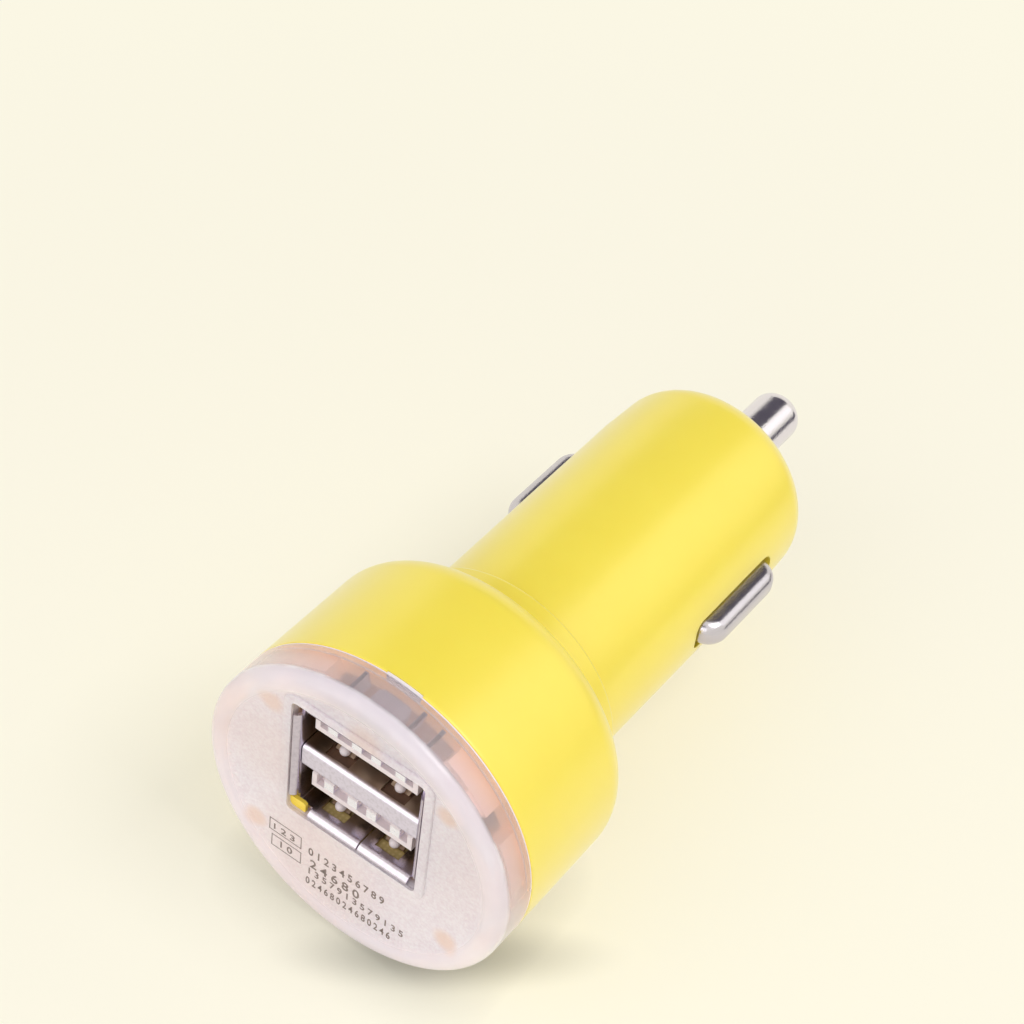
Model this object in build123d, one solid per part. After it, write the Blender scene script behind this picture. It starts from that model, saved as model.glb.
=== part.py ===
from build123d import *
import os
from math import cos, radians, sin, sqrt, tan

# Dual USB charger that plugs into a car's 12 V socket. All sizes are in millimetres.
# The plug's axis is Y. The USB face looks along -Y, the centre pin along +Y, and Z is up.
# Y = 0 is the end of the root collar, where the rim of the socket stops the plug.

# Moulded body: head, collar, barrel and nose in one piece
shoulder_width = 4.1
head_length = 14.65
head_draft = 0.15
head_edge_radius = 3.2
head_wall = 1.8
collar_step = 1.1
collar_length = 3.0
collar_edge_radius = 0.4
barrel_radius = 10.4
barrel_wall = 1.7
land_margin = 0.8
barrel_length = 31.0
barrel_draft = 0.2
nose_dome_height = 4.6
nose_flat_radius = 3.0
nose_boss_radius = 4.3
nose_boss_height = 1.1
nose_wall = 5.2
nose_cone_height = 2.5

# End cap and the spigot of the body that it fits over
cap_height = 3.85
cap_wall = 1.45
cap_plate = 1.2
cap_edge_radius = 1.1
cap_rim_width = 2.4
cap_rim_rise = 0.45
cap_rim_slope = 0.8
cap_gap = 0.1
spigot_wall = 1.45
spigot_length = 2.0
spigot_root = 2.1
pad_span = 10
pad_angles = (44, 136, 217, 326)
notches = ((27, 38), (60, 111), (142, 153), (240, 291))
tab_angles = (79, 92.5)
tab_length = 2.05
tab_thickness = 1.0
tab_corner = 0.7
rib_angles = (67.5, 75.5, 99)
rib_span = 2.6
rib_length = 2.3
key_depth = 0.2
key_side_gap = 0.5
frame_width = 0.9
frame_height = 0.2
sleeve_depth = 1.3

# Stacked double USB socket
usb_center_z = 3.7
port_width = 12.2
port_height = 4.85
divider_height = 2.6
divider_recess = 0.6
divider_clear = 0.9
usb_depth = 15.2
usb_sheet = 0.3
sheet_bend_radius = 0.5
lip_angle = 75
lip_corner_gap = 1.1
lip_side_gap = 1.2
lip_proud = 0.1
seam_offset = 0.6
seam_width = 0.14
window_gap = 0.1
window_corner = 0.5
finger_spacing = 5.8
finger_width = 1.9
finger_length = 4.0
finger_rise = 0.5
finger_setback = 2.3
finger_slot_gap = 0.3
finger_window = 1.1
leg_width = 1.6
leg_setbacks = (6.0, 12.4)
leg_length = 2.4
tail_opening = 1.4
insulator_length = 4.2
insulator_gap = 0.06
blade_side_gap = 0.8
blade_thickness = 1.84
blade_headroom = 0.7
blade_recess = 1.2
blade_lip_height = 0.55
blade_lip_depth = 0.5
blade_pocket_depth = 0.7
blade_pocket_margin = 0.5
terminal_pitches = (-3.5, -1.0, 1.0, 3.5)
terminal_width = 1.0
terminal_thickness = 0.25
terminal_tip_height = 0.8
terminal_bump = 0.4
terminal_bump_length = 1.8
terminal_bump_setback = 1.9

# Circuit board and what stands on it
board_thickness = 1.6
board_gap = 0.15
board_front_setback = 2.7
board_margin = 1.2
board_clear = 0.5
board_corner = 1.2
rail_width = 0.85
rail_reach = 0.7
rail_margin = 1.0
capacitor_radius = 3.1
capacitor_length = 10.5
capacitor_start = -3.4
capacitor_spacing = 6.5
crimp_depth = 0.3
inductor_radius = 3.2
inductor_height = 5.0
inductor_flange = 0.9
inductor_waist = 1.4
winding_turns = 6
winding_depth = 1.3
inductor_y = 11.4
chip_length = 4.9
chip_width = 3.9
chip_height = 1.5
chip_y = 3.0
chip_lead_width = 0.4
chip_lead_pitch = 1.27
chip_lead_reach = 1.05
chip_lead_thickness = 0.2
diode_length = 4.3
diode_width = 2.6
diode_height = 2.1
diode_y = 9.5
small_chip_length = 2.0
small_chip_width = 1.25
small_chip_height = 0.6
small_chip_spacing = 2.4
resistor_y = -3.0
ceramic_y = 15.0
led_length = 2.0
led_width = 1.6
led_height = 0.9

# Sprung centre pin
pin_radius = 2.5
pin_gap = 0.15
pin_proud = 8.8
pin_travel = 4.0
pin_tip_radius = 1.7
pin_flange_radius = 3.7
pin_flange = 1.2
pin_tail_radius = 1.5
pin_tail_length = 2.6
spring_length = 8.2
spring_radius = 2.1
spring_wire = 0.45
spring_turns = 6
spring_gap = 0.03
plate_width = 6.0
plate_thickness = 0.5
plate_height = 5.9
plate_foot = 3.6

# Sprung side contacts
contact_setback = 10.4
contact_length = 11.4
contact_width = 2.8
contact_proud = 1.7
contact_corner = 2.2
contact_edge_radius = 0.8
contact_wall = 0.45
contact_flange = 1.1
contact_flange_thickness = 0.5
contact_flange_gap = 0.15
slot_gap = 0.3
slot_end_gap = 0.5
slot_corner = 1.2
leaf_thickness = 0.25
leaf_width = 2.2
leaf_bow = 2.6
leaf_length = 11.0
leaf_gap = 0.04
leaf_foot = 1.6

# Planes along the axis that several pieces share
shoulder_y = -collar_length
seam_y = shoulder_y - head_length
face_y = seam_y - cap_height
plate_back_y = face_y + cap_plate
pad_front_y = plate_back_y + cap_gap
head_floor_y = shoulder_y - head_wall
boss_end_y = barrel_length + nose_dome_height + nose_boss_height
nose_floor_y = boss_end_y - nose_wall

# Radii that several pieces share
collar_radius = barrel_radius + collar_step
head_radius = collar_radius + shoulder_width
barrel_bore = barrel_radius - barrel_wall
head_bore = head_radius - head_wall
cap_bore = head_radius - cap_wall
spigot_radius = cap_bore - cap_gap
spigot_bore = spigot_radius - spigot_wall
pin_hole_radius = pin_radius + pin_gap

# Places that the USB socket and the board share
port_half_width = port_width / 2
ports_half_height = port_height + divider_height / 2
usb_half_width = port_half_width + usb_sheet
usb_half_height = ports_half_height + usb_sheet
lip_front_y = face_y - lip_proud
lip_reach = sheet_bend_radius * (1 - cos(radians(lip_angle)))
usb_front_y = lip_front_y + (sheet_bend_radius + usb_sheet) * sin(radians(lip_angle))
usb_rear_y = lip_front_y + usb_depth
window_half_width = usb_half_width + lip_reach + window_gap
window_half_height = usb_half_height + lip_reach + window_gap
blade_width = port_width - 2 * blade_side_gap
blade_front_y = lip_front_y + blade_recess
insulator_front_y = usb_rear_y - insulator_length
divider_front_y = lip_front_y + divider_recess
divider_depth = insulator_front_y - divider_clear - divider_front_y
board_top = usb_center_z - usb_half_height
board_bottom = board_top - board_thickness
board_half_width = sqrt((barrel_bore - board_gap) ** 2 - board_bottom ** 2)
board_front_y = face_y + board_front_setback
board_head_half_width = usb_half_width + board_margin

# Places that the contacts, the pin and their springs share
contact_y = barrel_length - contact_setback
slot_length = contact_length + 2 * slot_end_gap
slot_width = contact_width + 2 * slot_gap
land_length = contact_y - slot_length / 2 - land_margin
contact_half_width = contact_width / 2
contact_face_x = barrel_radius + contact_proud
contact_flange_x = sqrt(barrel_bore ** 2 - contact_half_width ** 2) - contact_flange_gap
contact_back_x = contact_flange_x - contact_flange_thickness
pin_flange_y = nose_floor_y - pin_flange
spring_plate_y = pin_flange_y - spring_length
board_end = pin_flange_y - pin_travel - board_clear


def block(x0, x1, y0, y1, z0, z1):
    """Box between two corners."""
    corner = (Align.MIN, Align.MIN, Align.MIN)
    return Pos(x0, y0, z0) * Box(x1 - x0, y1 - y0, z1 - z0, align=corner)


def rod(radius, y0, y1, x=0, z=0):
    """Round bar along Y."""
    upright = Cylinder(radius, y1 - y0, align=(Align.CENTER, Align.CENTER, Align.MIN))
    return Pos(x, y0, z) * Rot(-90, 0, 0) * upright


def turned(points, rounded=()):
    """Solid turned about Y from (radius, y) corners. Each entry of rounded is (radius, y, fillet)."""
    face = make_face(Polyline(*points, close=True))
    for r, y, size in rounded:
        corner = face.vertices().sort_by_distance((r, y, 0))[0]
        face = fillet(corner, size)
    return revolve(face, Axis.Y)


def sector(angle0, angle1, r0, r1, y0, y1):
    """Stretch of a ring about Y, with its angles counted from +X towards +Z."""
    section = make_face(Polyline((r0, y0), (r1, y0), (r1, y1), (r0, y1), close=True))
    return Rot(0, -angle1, 0) * revolve(section, Axis.Y, revolution_arc=angle1 - angle0)


def strip_face(points, thickness):
    """Flat outline of a bent strip whose middle line runs through the points."""
    path = [Vector(*p) for p in points]
    sides = []
    for i in range(len(path)):
        before = (path[i] - path[i - 1]).normalized() if i else None
        after = (path[i + 1] - path[i]).normalized() if i + 1 < len(path) else None
        along = ((before or after) + (after or before)).normalized()
        normal = Vector(-along.Y, along.X)
        widen = 1 / normal.dot(Vector(-(before or after).Y, (before or after).X))
        sides.append((path[i], normal * (widen * thickness / 2)))
    left = [p + n for p, n in sides]
    right = [p - n for p, n in reversed(sides)]
    return make_face(Polyline(*left, *right, close=True))


def bent_strip(points, thickness, width, x=0):
    """Strip of sheet bent through (y, z) points, centred across on x."""
    face = Plane.YZ * strip_face(points, thickness)
    return Pos(x, 0, 0) * extrude(face, width / 2, both=True)


def usb_plane(y):
    """Plane across the axis, centred on the USB socket, with its normal along +Y."""
    return Plane(origin=(0, y, usb_center_z), x_dir=(1, 0, 0), z_dir=(0, 1, 0))


def both_sides(piece):
    """A piece and its mirror image across the YZ plane."""
    return [piece, mirror(piece, Plane.YZ)]


def body_outside():
    """Spigot, head, collar, barrel and nose turned as one solid."""
    head_rear = head_radius - head_draft
    nose_start = barrel_radius - barrel_draft
    foot = [
        (0, pad_front_y),
        (spigot_radius, pad_front_y),
        (spigot_radius, seam_y),
        (head_radius, seam_y),
        (head_rear, shoulder_y),
        (collar_radius, shoulder_y),
        (collar_radius, 0),
        (barrel_radius, 0),
        (barrel_radius, land_length),
        (nose_start, barrel_length),
    ]
    dome = EllipticalCenterArc(
        (nose_flat_radius, barrel_length), nose_start - nose_flat_radius, nose_dome_height, arc_size=90
    )
    top = Polyline(dome @ 1, (0, barrel_length + nose_dome_height), (0, pad_front_y))
    face = make_face(Polyline(*foot) + dome + top)
    shoulder_fillet = min(head_edge_radius, head_rear - collar_radius - 1.2 * collar_edge_radius)
    rounded = (
        (head_rear, shoulder_y, shoulder_fillet),
        (collar_radius, shoulder_y, collar_edge_radius),
        (collar_radius, 0, collar_edge_radius),
    )
    for r, y, size in rounded:
        corner = face.vertices().sort_by_distance((r, y, 0))[0]
        face = fillet(corner, size)
    boss = turned(
        [
            (0, barrel_length),
            (nose_boss_radius, barrel_length),
            (nose_boss_radius, boss_end_y),
            (0, boss_end_y),
        ],
        [(nose_boss_radius, boss_end_y, collar_edge_radius)],
    )
    return revolve(face, Axis.Y) + boss


def body_inside():
    """Hollow of the body, from the open mouth to the hole for the pin."""
    mouth_y = seam_y + spigot_root
    flare = head_bore - spigot_bore
    seat_radius = pin_flange_radius + barrel_wall / 2
    past = cap_height
    return turned(
        [
            (0, seam_y - past),
            (spigot_bore, seam_y - past),
            (spigot_bore, mouth_y),
            (head_bore, mouth_y + flare),
            (head_bore, head_floor_y),
            (barrel_bore, head_floor_y),
            (barrel_bore, nose_floor_y - nose_cone_height),
            (seat_radius, nose_floor_y),
            (pin_hole_radius, nose_floor_y),
            (pin_hole_radius, boss_end_y + past),
            (0, boss_end_y + past),
        ],
        [(head_bore, head_floor_y, head_edge_radius - head_wall)],
    )


def spigot_cuts():
    """Sectors cut from the turned spigot: the low stretches between its pads, its notches and the keyway."""
    low_y = seam_y - spigot_length
    inner = spigot_bore - cap_gap
    outer = spigot_radius + cap_gap
    front_y = pad_front_y - cap_gap
    edges = [a + side * pad_span / 2 for a in pad_angles for side in (-1, 1)]
    edges = edges[1:] + [edges[0] + 360]
    cuts = [sector(a0, a1, inner, outer, front_y, low_y) for a0, a1 in zip(edges[0::2], edges[1::2])]
    cuts += [sector(a0, a1, inner, outer, front_y, seam_y) for a0, a1 in notches]
    past = head_radius + cap_gap
    cuts.append(sector(*tab_angles, spigot_radius, past, seam_y - cap_gap, seam_y + key_depth))
    return cuts


def body_shell():
    """Yellow ABS body: turned shell with its spigot, side slots and rails for the board."""
    shell = body_outside() - body_inside() - spigot_cuts()
    slot = Plane.YZ * Pos(contact_y, 0) * RectangleRounded(slot_length, slot_width, slot_corner)
    cut_x = contact_back_x - contact_flange
    cut = Pos(cut_x, 0, 0) * extrude(slot, contact_face_x - cut_x)
    rail_z = board_top + board_gap
    rail_x = board_half_width - rail_reach
    rail_end = land_length - rail_margin
    rail = block(rail_x, barrel_bore + barrel_wall / 2, 0, rail_end, rail_z, rail_z + rail_width)
    rail &= rod(barrel_bore + barrel_wall / 2, 0, rail_end)
    return shell + both_sides(rail) - both_sides(cut)


def snap_tab():
    """Tab behind the cap's plate, rounded at its free end, which hooks into the spigot's top notch."""
    end_y = plate_back_y + tab_length
    inner = spigot_bore + cap_gap
    tab = sector(*tab_angles, inner, inner + tab_thickness, face_y + cap_plate / 2, end_y)
    corners = [e for e in tab.edges().filter_by(GeomType.LINE) if abs(e.center().Y - end_y) < cap_gap / 10]
    return fillet(corners, tab_corner)


def end_cap():
    """Frosted translucent cap: a keyed cup with the USB window, and a sleeve, ribs and a tab behind it."""
    rim_y = face_y - cap_rim_rise
    rim_foot = head_radius - cap_rim_width
    key_y = seam_y + key_depth - cap_gap
    key0, key1 = tab_angles
    cup = turned(
        [
            (0, face_y),
            (rim_foot, face_y),
            (rim_foot + cap_rim_slope, rim_y),
            (head_radius, rim_y),
            (head_radius, key_y),
            (cap_bore, key_y),
            (cap_bore, plate_back_y),
            (0, plate_back_y),
        ],
        [(head_radius, rim_y, cap_edge_radius)],
    )
    cup -= sector(
        key1 - key_side_gap, key0 + key_side_gap + 360, cap_bore - cap_gap, head_radius + cap_gap,
        seam_y, key_y + cap_gap,
    )
    outer_width = 2 * (window_half_width + frame_width)
    outer_height = 2 * (window_half_height + frame_width)
    frame = RectangleRounded(outer_width, outer_height, window_corner + frame_width)
    raised = extrude(usb_plane(face_y - frame_height) * frame, frame_height + cap_plate / 2)
    raised &= rod(head_radius - cap_edge_radius, face_y - frame_height, seam_y)
    sleeve = extrude(usb_plane(face_y + cap_plate / 2) * frame, cap_plate / 2 + sleeve_depth)
    sleeve &= rod(spigot_bore - 2 * cap_gap, face_y, seam_y + sleeve_depth)
    opening = RectangleRounded(2 * window_half_width, 2 * window_half_height, window_corner)
    window = extrude(usb_plane(face_y - cap_height) * opening, 2 * cap_height + sleeve_depth)
    ribs = [snap_tab()]
    for angle in rib_angles:
        ribs.append(sector(
            angle - rib_span / 2, angle + rib_span / 2, spigot_bore + cap_gap, cap_bore + cap_wall / 2,
            face_y + cap_plate / 2, plate_back_y + rib_length,
        ))
    return cup + raised + sleeve - window + ribs


def usb_lip(half, length):
    """Flared lip at the mouth of the USB shell, on the side that faces +Z."""
    bend = (usb_front_y, half + sheet_bend_radius)
    outer = CenterArc(bend, sheet_bend_radius, -90, -lip_angle)
    inner = CenterArc(bend, sheet_bend_radius + usb_sheet, -90, -lip_angle)
    face = make_face(outer + inner + Line(outer @ 0, inner @ 0) + Line(outer @ 1, inner @ 1))
    return extrude(Plane.YZ * face, length / 2, both=True)


def grip_finger(wall_top, x):
    """Springy finger cut from a wall, which rises into the port above it and grips the plug."""
    root_y = lip_front_y + finger_setback + finger_length
    crest_y = root_y - finger_length * 0.72
    tip_y = root_y - finger_length
    low = wall_top - usb_sheet / 2
    points = [(root_y + usb_sheet, low), (root_y, low), (crest_y, low + finger_rise), (tip_y, low)]
    return bent_strip(points, usb_sheet, finger_width, x)


def finger_slot(wall_top, x):
    """Opening that frees a grip finger from its wall on three sides."""
    half = finger_width / 2 + finger_slot_gap
    root_y = lip_front_y + finger_setback + finger_length
    tip_y = root_y - finger_length - finger_window
    return block(x - half, x + half, tip_y, root_y, wall_top - 2 * usb_sheet, wall_top + usb_sheet)


def usb_shell():
    """Folded tin-plated steel box of both ports, with flared lips, grip fingers and solder legs."""
    outside = RectangleRounded(2 * usb_half_width, 2 * usb_half_height, sheet_bend_radius)
    inside = RectangleRounded(port_width, 2 * ports_half_height, sheet_bend_radius - usb_sheet)
    shell = extrude(usb_plane(usb_front_y) * (outside - inside), usb_rear_y - usb_front_y)
    across = usb_lip(usb_half_height, 2 * (usb_half_width - lip_corner_gap))
    upright = usb_lip(usb_half_width, 2 * (usb_half_height - lip_side_gap))
    shell += Pos(0, 0, usb_center_z) * across
    shell += Pos(seam_offset, 0, usb_center_z) * Rot(0, 180, 0) * across
    shell += Pos(0, 0, usb_center_z) * Rot(0, 90, 0) * upright
    shell += Pos(0, 0, usb_center_z) * Rot(0, 270, 0) * upright
    floor_z = usb_center_z - ports_half_height
    for x in (-finger_spacing / 2, finger_spacing / 2):
        shell -= finger_slot(floor_z, x)
        shell += grip_finger(floor_z, x)
    side = seam_width / 2
    shell -= block(
        seam_offset - side, seam_offset + side, lip_front_y - lip_reach, usb_rear_y + lip_reach,
        board_top - lip_reach - window_gap, floor_z + usb_sheet / 3,
    )
    tail_half = terminal_pitches[-1] + terminal_width
    shell -= block(
        -tail_half, tail_half, usb_rear_y - tail_opening, usb_rear_y + lip_reach,
        board_top - lip_reach, floor_z + usb_sheet / 3,
    )
    for setback in leg_setbacks:
        leg_y = lip_front_y + setback
        leg = block(
            port_half_width, usb_half_width, leg_y - leg_width / 2, leg_y + leg_width / 2,
            board_top - leg_length, board_top + sheet_bend_radius,
        )
        shell += both_sides(leg)
    return shell


def usb_divider():
    """Folded channel between the two ports, with grip fingers on the side of the upper port."""
    half = divider_height / 2
    middle = (divider_front_y + divider_depth / 2, usb_center_z)
    channel = Pos(*middle) * Rectangle(divider_depth, divider_height)
    bends = channel.vertices().group_by(Axis.X)[0]
    channel = fillet(bends, sheet_bend_radius)
    hollow_depth = divider_depth - usb_sheet
    hollow = Pos(divider_front_y + usb_sheet + hollow_depth / 2, usb_center_z) * Rectangle(
        hollow_depth, divider_height - 2 * usb_sheet
    )
    half_length = port_half_width - insulator_gap
    divider = extrude(Plane.YZ * (channel - hollow), half_length, both=True)
    for x in (-finger_spacing / 2, finger_spacing / 2):
        divider -= finger_slot(usb_center_z + half, x)
        divider += grip_finger(usb_center_z + half, x)
    return divider


def port_tops():
    """Heights of the upper and the lower port's top wall."""
    upper = usb_center_z + ports_half_height
    return upper, usb_center_z - divider_height / 2


def terminal_row(port_top, tail_y):
    """Four strips under one port's blade, hooked over its front lip, with tails to the board."""
    under = port_top - blade_headroom - blade_thickness
    run_z = under + terminal_thickness / 2
    tip_y = blade_front_y + terminal_thickness / 2
    tip_z = run_z + blade_lip_height
    hook_y = tip_y + blade_lip_depth
    bump_y = blade_front_y + terminal_bump_setback
    half = terminal_bump_length / 2
    points = [
        (tip_y, tip_z + terminal_tip_height),
        (tip_y, tip_z),
        (hook_y, tip_z),
        (hook_y, run_z),
        (bump_y - half, run_z),
        (bump_y - half / 3, run_z - terminal_bump),
        (bump_y + half / 3, run_z - terminal_bump),
        (bump_y + half, run_z),
        (tail_y, run_z),
        (tail_y, board_top),
    ]
    return [bent_strip(points, terminal_thickness, terminal_width, x) for x in terminal_pitches]


def usb_terminals():
    """The upper and the lower row of contact strips."""
    upper_top, lower_top = port_tops()
    step = terminal_thickness * 2
    upper = terminal_row(upper_top, usb_rear_y + step / 4)
    lower = terminal_row(lower_top, usb_rear_y - step)
    return upper, lower


def blade_pockets():
    """Stretches of a blade's front edge between the contact tips, which are set back."""
    half = terminal_width / 2
    end = blade_width / 2 - blade_pocket_margin
    starts = [-end] + [x + half for x in terminal_pitches]
    stops = [x - half for x in terminal_pitches] + [end]
    return zip(starts, stops)


def usb_insulator():
    """White moulding with a block at the back and one contact blade in each port."""
    width = port_width - 2 * insulator_gap
    height = 2 * (ports_half_height - insulator_gap)
    body = extrude(usb_plane(insulator_front_y) * Rectangle(width, height), insulator_length)
    for top in port_tops():
        blade_top = top - blade_headroom
        blade = block(
            -blade_width / 2, blade_width / 2, blade_front_y, insulator_front_y,
            blade_top - blade_thickness, blade_top,
        )
        front = blade.edges().filter_by(Axis.X).group_by(Axis.Y)[0].sort_by(Axis.Z)[-1]
        blade = chamfer(front, terminal_thickness)
        for x0, x1 in blade_pockets():
            blade -= block(
                x0, x1, lip_front_y, blade_front_y + blade_pocket_depth,
                blade_top - blade_thickness + blade_lip_height, top,
            )
        body += blade
    upper, lower = usb_terminals()
    return body - upper - lower


def circuit_board():
    """Glass-fibre board that carries everything inside, with holes for the USB legs."""
    step_y = (usb_rear_y + head_floor_y) / 2
    board_length = board_end - board_front_y
    outline = Pos(0, board_front_y + board_length / 2) * Rectangle(2 * board_half_width, board_length)
    rear = outline.vertices().group_by(Axis.Y)[-1]
    outline = chamfer(rear, board_corner)
    head_end = Rectangle(2 * board_head_half_width, step_y - board_front_y)
    outline += Pos(0, (board_front_y + step_y) / 2) * head_end
    board = extrude(Pos(0, 0, board_bottom) * outline, board_thickness)
    for setback in leg_setbacks:
        leg_y = lip_front_y + setback
        reach = leg_width / 2 + board_gap
        hole = block(
            port_half_width - board_gap, usb_half_width + board_gap, leg_y - reach, leg_y + reach,
            board_bottom - board_gap, board_top + board_gap,
        )
        board -= both_sides(hole)
    return board


def capacitor(x):
    """Aluminium can capacitor lying on the board, with the crimp that holds its seal."""
    r = capacitor_radius
    end_y = capacitor_start + capacitor_length
    crimp_y = end_y - capacitor_radius / 2
    can = turned(
        [(0, capacitor_start), (r, capacitor_start), (r, end_y), (0, end_y)],
        [(r, capacitor_start, crimp_depth), (r, end_y, crimp_depth)],
    )
    outside = r + crimp_depth
    crimp = turned(
        [
            (r - crimp_depth, crimp_y),
            (outside, crimp_y - 2 * crimp_depth),
            (outside, crimp_y + 2 * crimp_depth),
        ]
    )
    return Pos(x, 0, board_top + r) * (can - crimp)


def inductor_core():
    """Ferrite bobbin that stands on the board."""
    top = inductor_height
    spool = make_face(
        Polyline(
            (0, 0),
            (inductor_radius, 0),
            (inductor_radius, inductor_flange),
            (inductor_waist, inductor_flange),
            (inductor_waist, top - inductor_flange),
            (inductor_radius, top - inductor_flange),
            (inductor_radius, top),
            (0, top),
            close=True,
        )
    )
    return Pos(0, inductor_y, board_top) * revolve(Plane.XZ * spool, Axis.Z)


def inductor_winding():
    """Copper wire wound on the bobbin, with one ridge for each turn."""
    span = inductor_height - 2 * inductor_flange
    pitch = span / winding_turns
    outer = inductor_waist + winding_depth
    path = Line((inductor_waist, inductor_flange), (outer, inductor_flange))
    for i in range(winding_turns):
        z0 = inductor_flange + i * pitch
        path += ThreePointArc((outer, z0), (outer + pitch / 3, z0 + pitch / 2), (outer, z0 + pitch))
    top = inductor_flange + span
    path += Polyline((outer, top), (inductor_waist, top), (inductor_waist, inductor_flange))
    return Pos(0, inductor_y, board_top) * revolve(Plane.XZ * make_face(path), Axis.Z)


def converter_chip():
    """Body of the converter chip under the board."""
    package = Pos(0, chip_y, board_bottom - chip_height / 2 - chip_lead_thickness / 2) * Box(
        chip_width, chip_length, chip_height - chip_lead_thickness
    )
    return chamfer(package.edges().group_by(Axis.Z)[0], chip_lead_thickness)


def chip_leads():
    """Gull-wing leads of the chip: out of its sides and up to the board."""
    out_x = chip_width / 2
    middle_z = board_bottom - chip_height / 2
    pad_z = board_bottom - chip_lead_thickness / 2
    knee = out_x + chip_lead_reach / 2
    points = [(out_x, middle_z), (knee, middle_z), (knee, pad_z), (out_x + chip_lead_reach, pad_z)]
    lead = extrude(Plane.XZ * strip_face(points, chip_lead_thickness), chip_lead_width / 2, both=True)
    leads = []
    for i in range(4):
        place = Pos(0, chip_y + (i - 1.5) * chip_lead_pitch, 0)
        leads += both_sides(place * lead)
    return leads


def rectifier_diode():
    """Moulded diode under the board, beside the chip."""
    package = Pos(0, diode_y, board_bottom - diode_height / 2) * Box(diode_length, diode_width, diode_height)
    return chamfer(package.edges().group_by(Axis.Z)[0], chip_lead_thickness)


def small_chips(count, y):
    """Row of chip resistors or ceramic capacitors under the board."""
    row = []
    for i in range(count):
        x = (i - (count - 1) / 2) * small_chip_spacing
        chip = Box(small_chip_width, small_chip_length, small_chip_height)
        row.append(Pos(x, y, board_bottom - small_chip_height / 2) * chip)
    return row


def indicator_led():
    """Small light under the front edge of the board, behind the cap."""
    y = board_front_y + led_length / 2
    base = Pos(0, y, board_bottom - led_height / 4) * Box(led_width, led_length, led_height / 2)
    lens = Pos(0, y, board_bottom - led_height * 3 / 4) * Box(led_width, led_length / 2, led_height / 2)
    return base + lens


def center_pin():
    """Turned nickel-plated pin with a flange that stops it at the floor of the nose."""
    tip_y = boss_end_y + pin_proud
    tail_y = pin_flange_y - pin_tail_length
    return turned(
        [
            (0, tail_y),
            (pin_tail_radius, tail_y),
            (pin_tail_radius, pin_flange_y),
            (pin_flange_radius, pin_flange_y),
            (pin_flange_radius, nose_floor_y),
            (pin_radius, nose_floor_y),
            (pin_radius, tip_y),
            (0, tip_y),
        ],
        [(pin_radius, tip_y, pin_tip_radius)],
    )


def pin_spring():
    """Coil spring between the flange of the pin and its plate on the board."""
    start = spring_plate_y + plate_thickness + spring_wire / 2 + spring_gap
    height = pin_flange_y - spring_wire / 2 - spring_gap - start
    path = Helix(height / spring_turns, height, spring_radius, center=(0, start, 0), direction=(0, 1, 0))
    section = Plane(origin=path @ 0, z_dir=path % 0) * Circle(spring_wire / 2)
    return sweep(section, path=path)


def spring_plate():
    """Bent brass plate soldered to the board, which takes the spring's thrust and its current."""
    middle_y = spring_plate_y + plate_thickness / 2
    foot_z = board_top + plate_thickness / 2
    points = [(middle_y - plate_foot, foot_z), (middle_y, foot_z), (middle_y, board_top + plate_height)]
    return bent_strip(points, plate_thickness, plate_width)


def contact_outline(inset):
    """Side outline of a ground contact on the +X side, drawn in by inset on its outer sides."""
    y0 = contact_y - contact_length / 2 + inset
    y1 = contact_y + contact_length / 2 - inset
    middle_x = (contact_back_x + contact_face_x - inset) / 2
    face = Pos(middle_x, (y0 + y1) / 2) * Rectangle(contact_face_x - inset - contact_back_x, y1 - y0)
    return fillet(face.vertices().group_by(Axis.X)[-1], contact_corner - inset)


def ground_contact():
    """Pressed nickel-plated shoe on the +X side, with a flange at each end that keeps it in its slot."""
    shoe = extrude(contact_outline(0), contact_half_width, both=True)
    long_edges = []
    for edge in shoe.edges():
        on_side = abs(abs(edge.center().Z) - contact_half_width) < contact_edge_radius / 10
        if on_side and edge.center().X > contact_back_x + contact_edge_radius / 10:
            long_edges.append(edge)
    shoe = fillet(long_edges, contact_edge_radius)
    shoe -= extrude(contact_outline(contact_wall), contact_half_width - contact_wall, both=True)
    reach = contact_length / 2 + contact_flange
    flange = block(
        contact_back_x, contact_flange_x, contact_y - reach, contact_y + reach,
        -contact_half_width, contact_half_width,
    )
    gap = contact_length / 2 - contact_wall
    flange -= block(
        contact_back_x, contact_flange_x, contact_y - gap, contact_y + gap,
        -contact_half_width, contact_half_width,
    )
    return shoe + flange


def contact_spring():
    """Bowed leaf spring behind the +X contact, with a foot soldered to the board."""
    crest_x = contact_back_x - leaf_gap
    end_x = crest_x - leaf_bow
    y0 = contact_y - leaf_length / 2
    y1 = contact_y + leaf_length / 2
    outer = ThreePointArc((end_x, y0), (crest_x, contact_y), (end_x, y1))
    inner = ThreePointArc(
        (end_x - leaf_thickness, y0), (crest_x - leaf_thickness, contact_y), (end_x - leaf_thickness, y1)
    )
    face = make_face(outer + inner + Line(outer @ 0, inner @ 0) + Line(outer @ 1, inner @ 1))
    leaf = extrude(face, leaf_width / 2, both=True)
    foot = block(
        end_x - leaf_thickness, end_x, y0 - leaf_foot, y0 + leaf_thickness, board_top, leaf_width / 2
    )
    return leaf + foot


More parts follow.
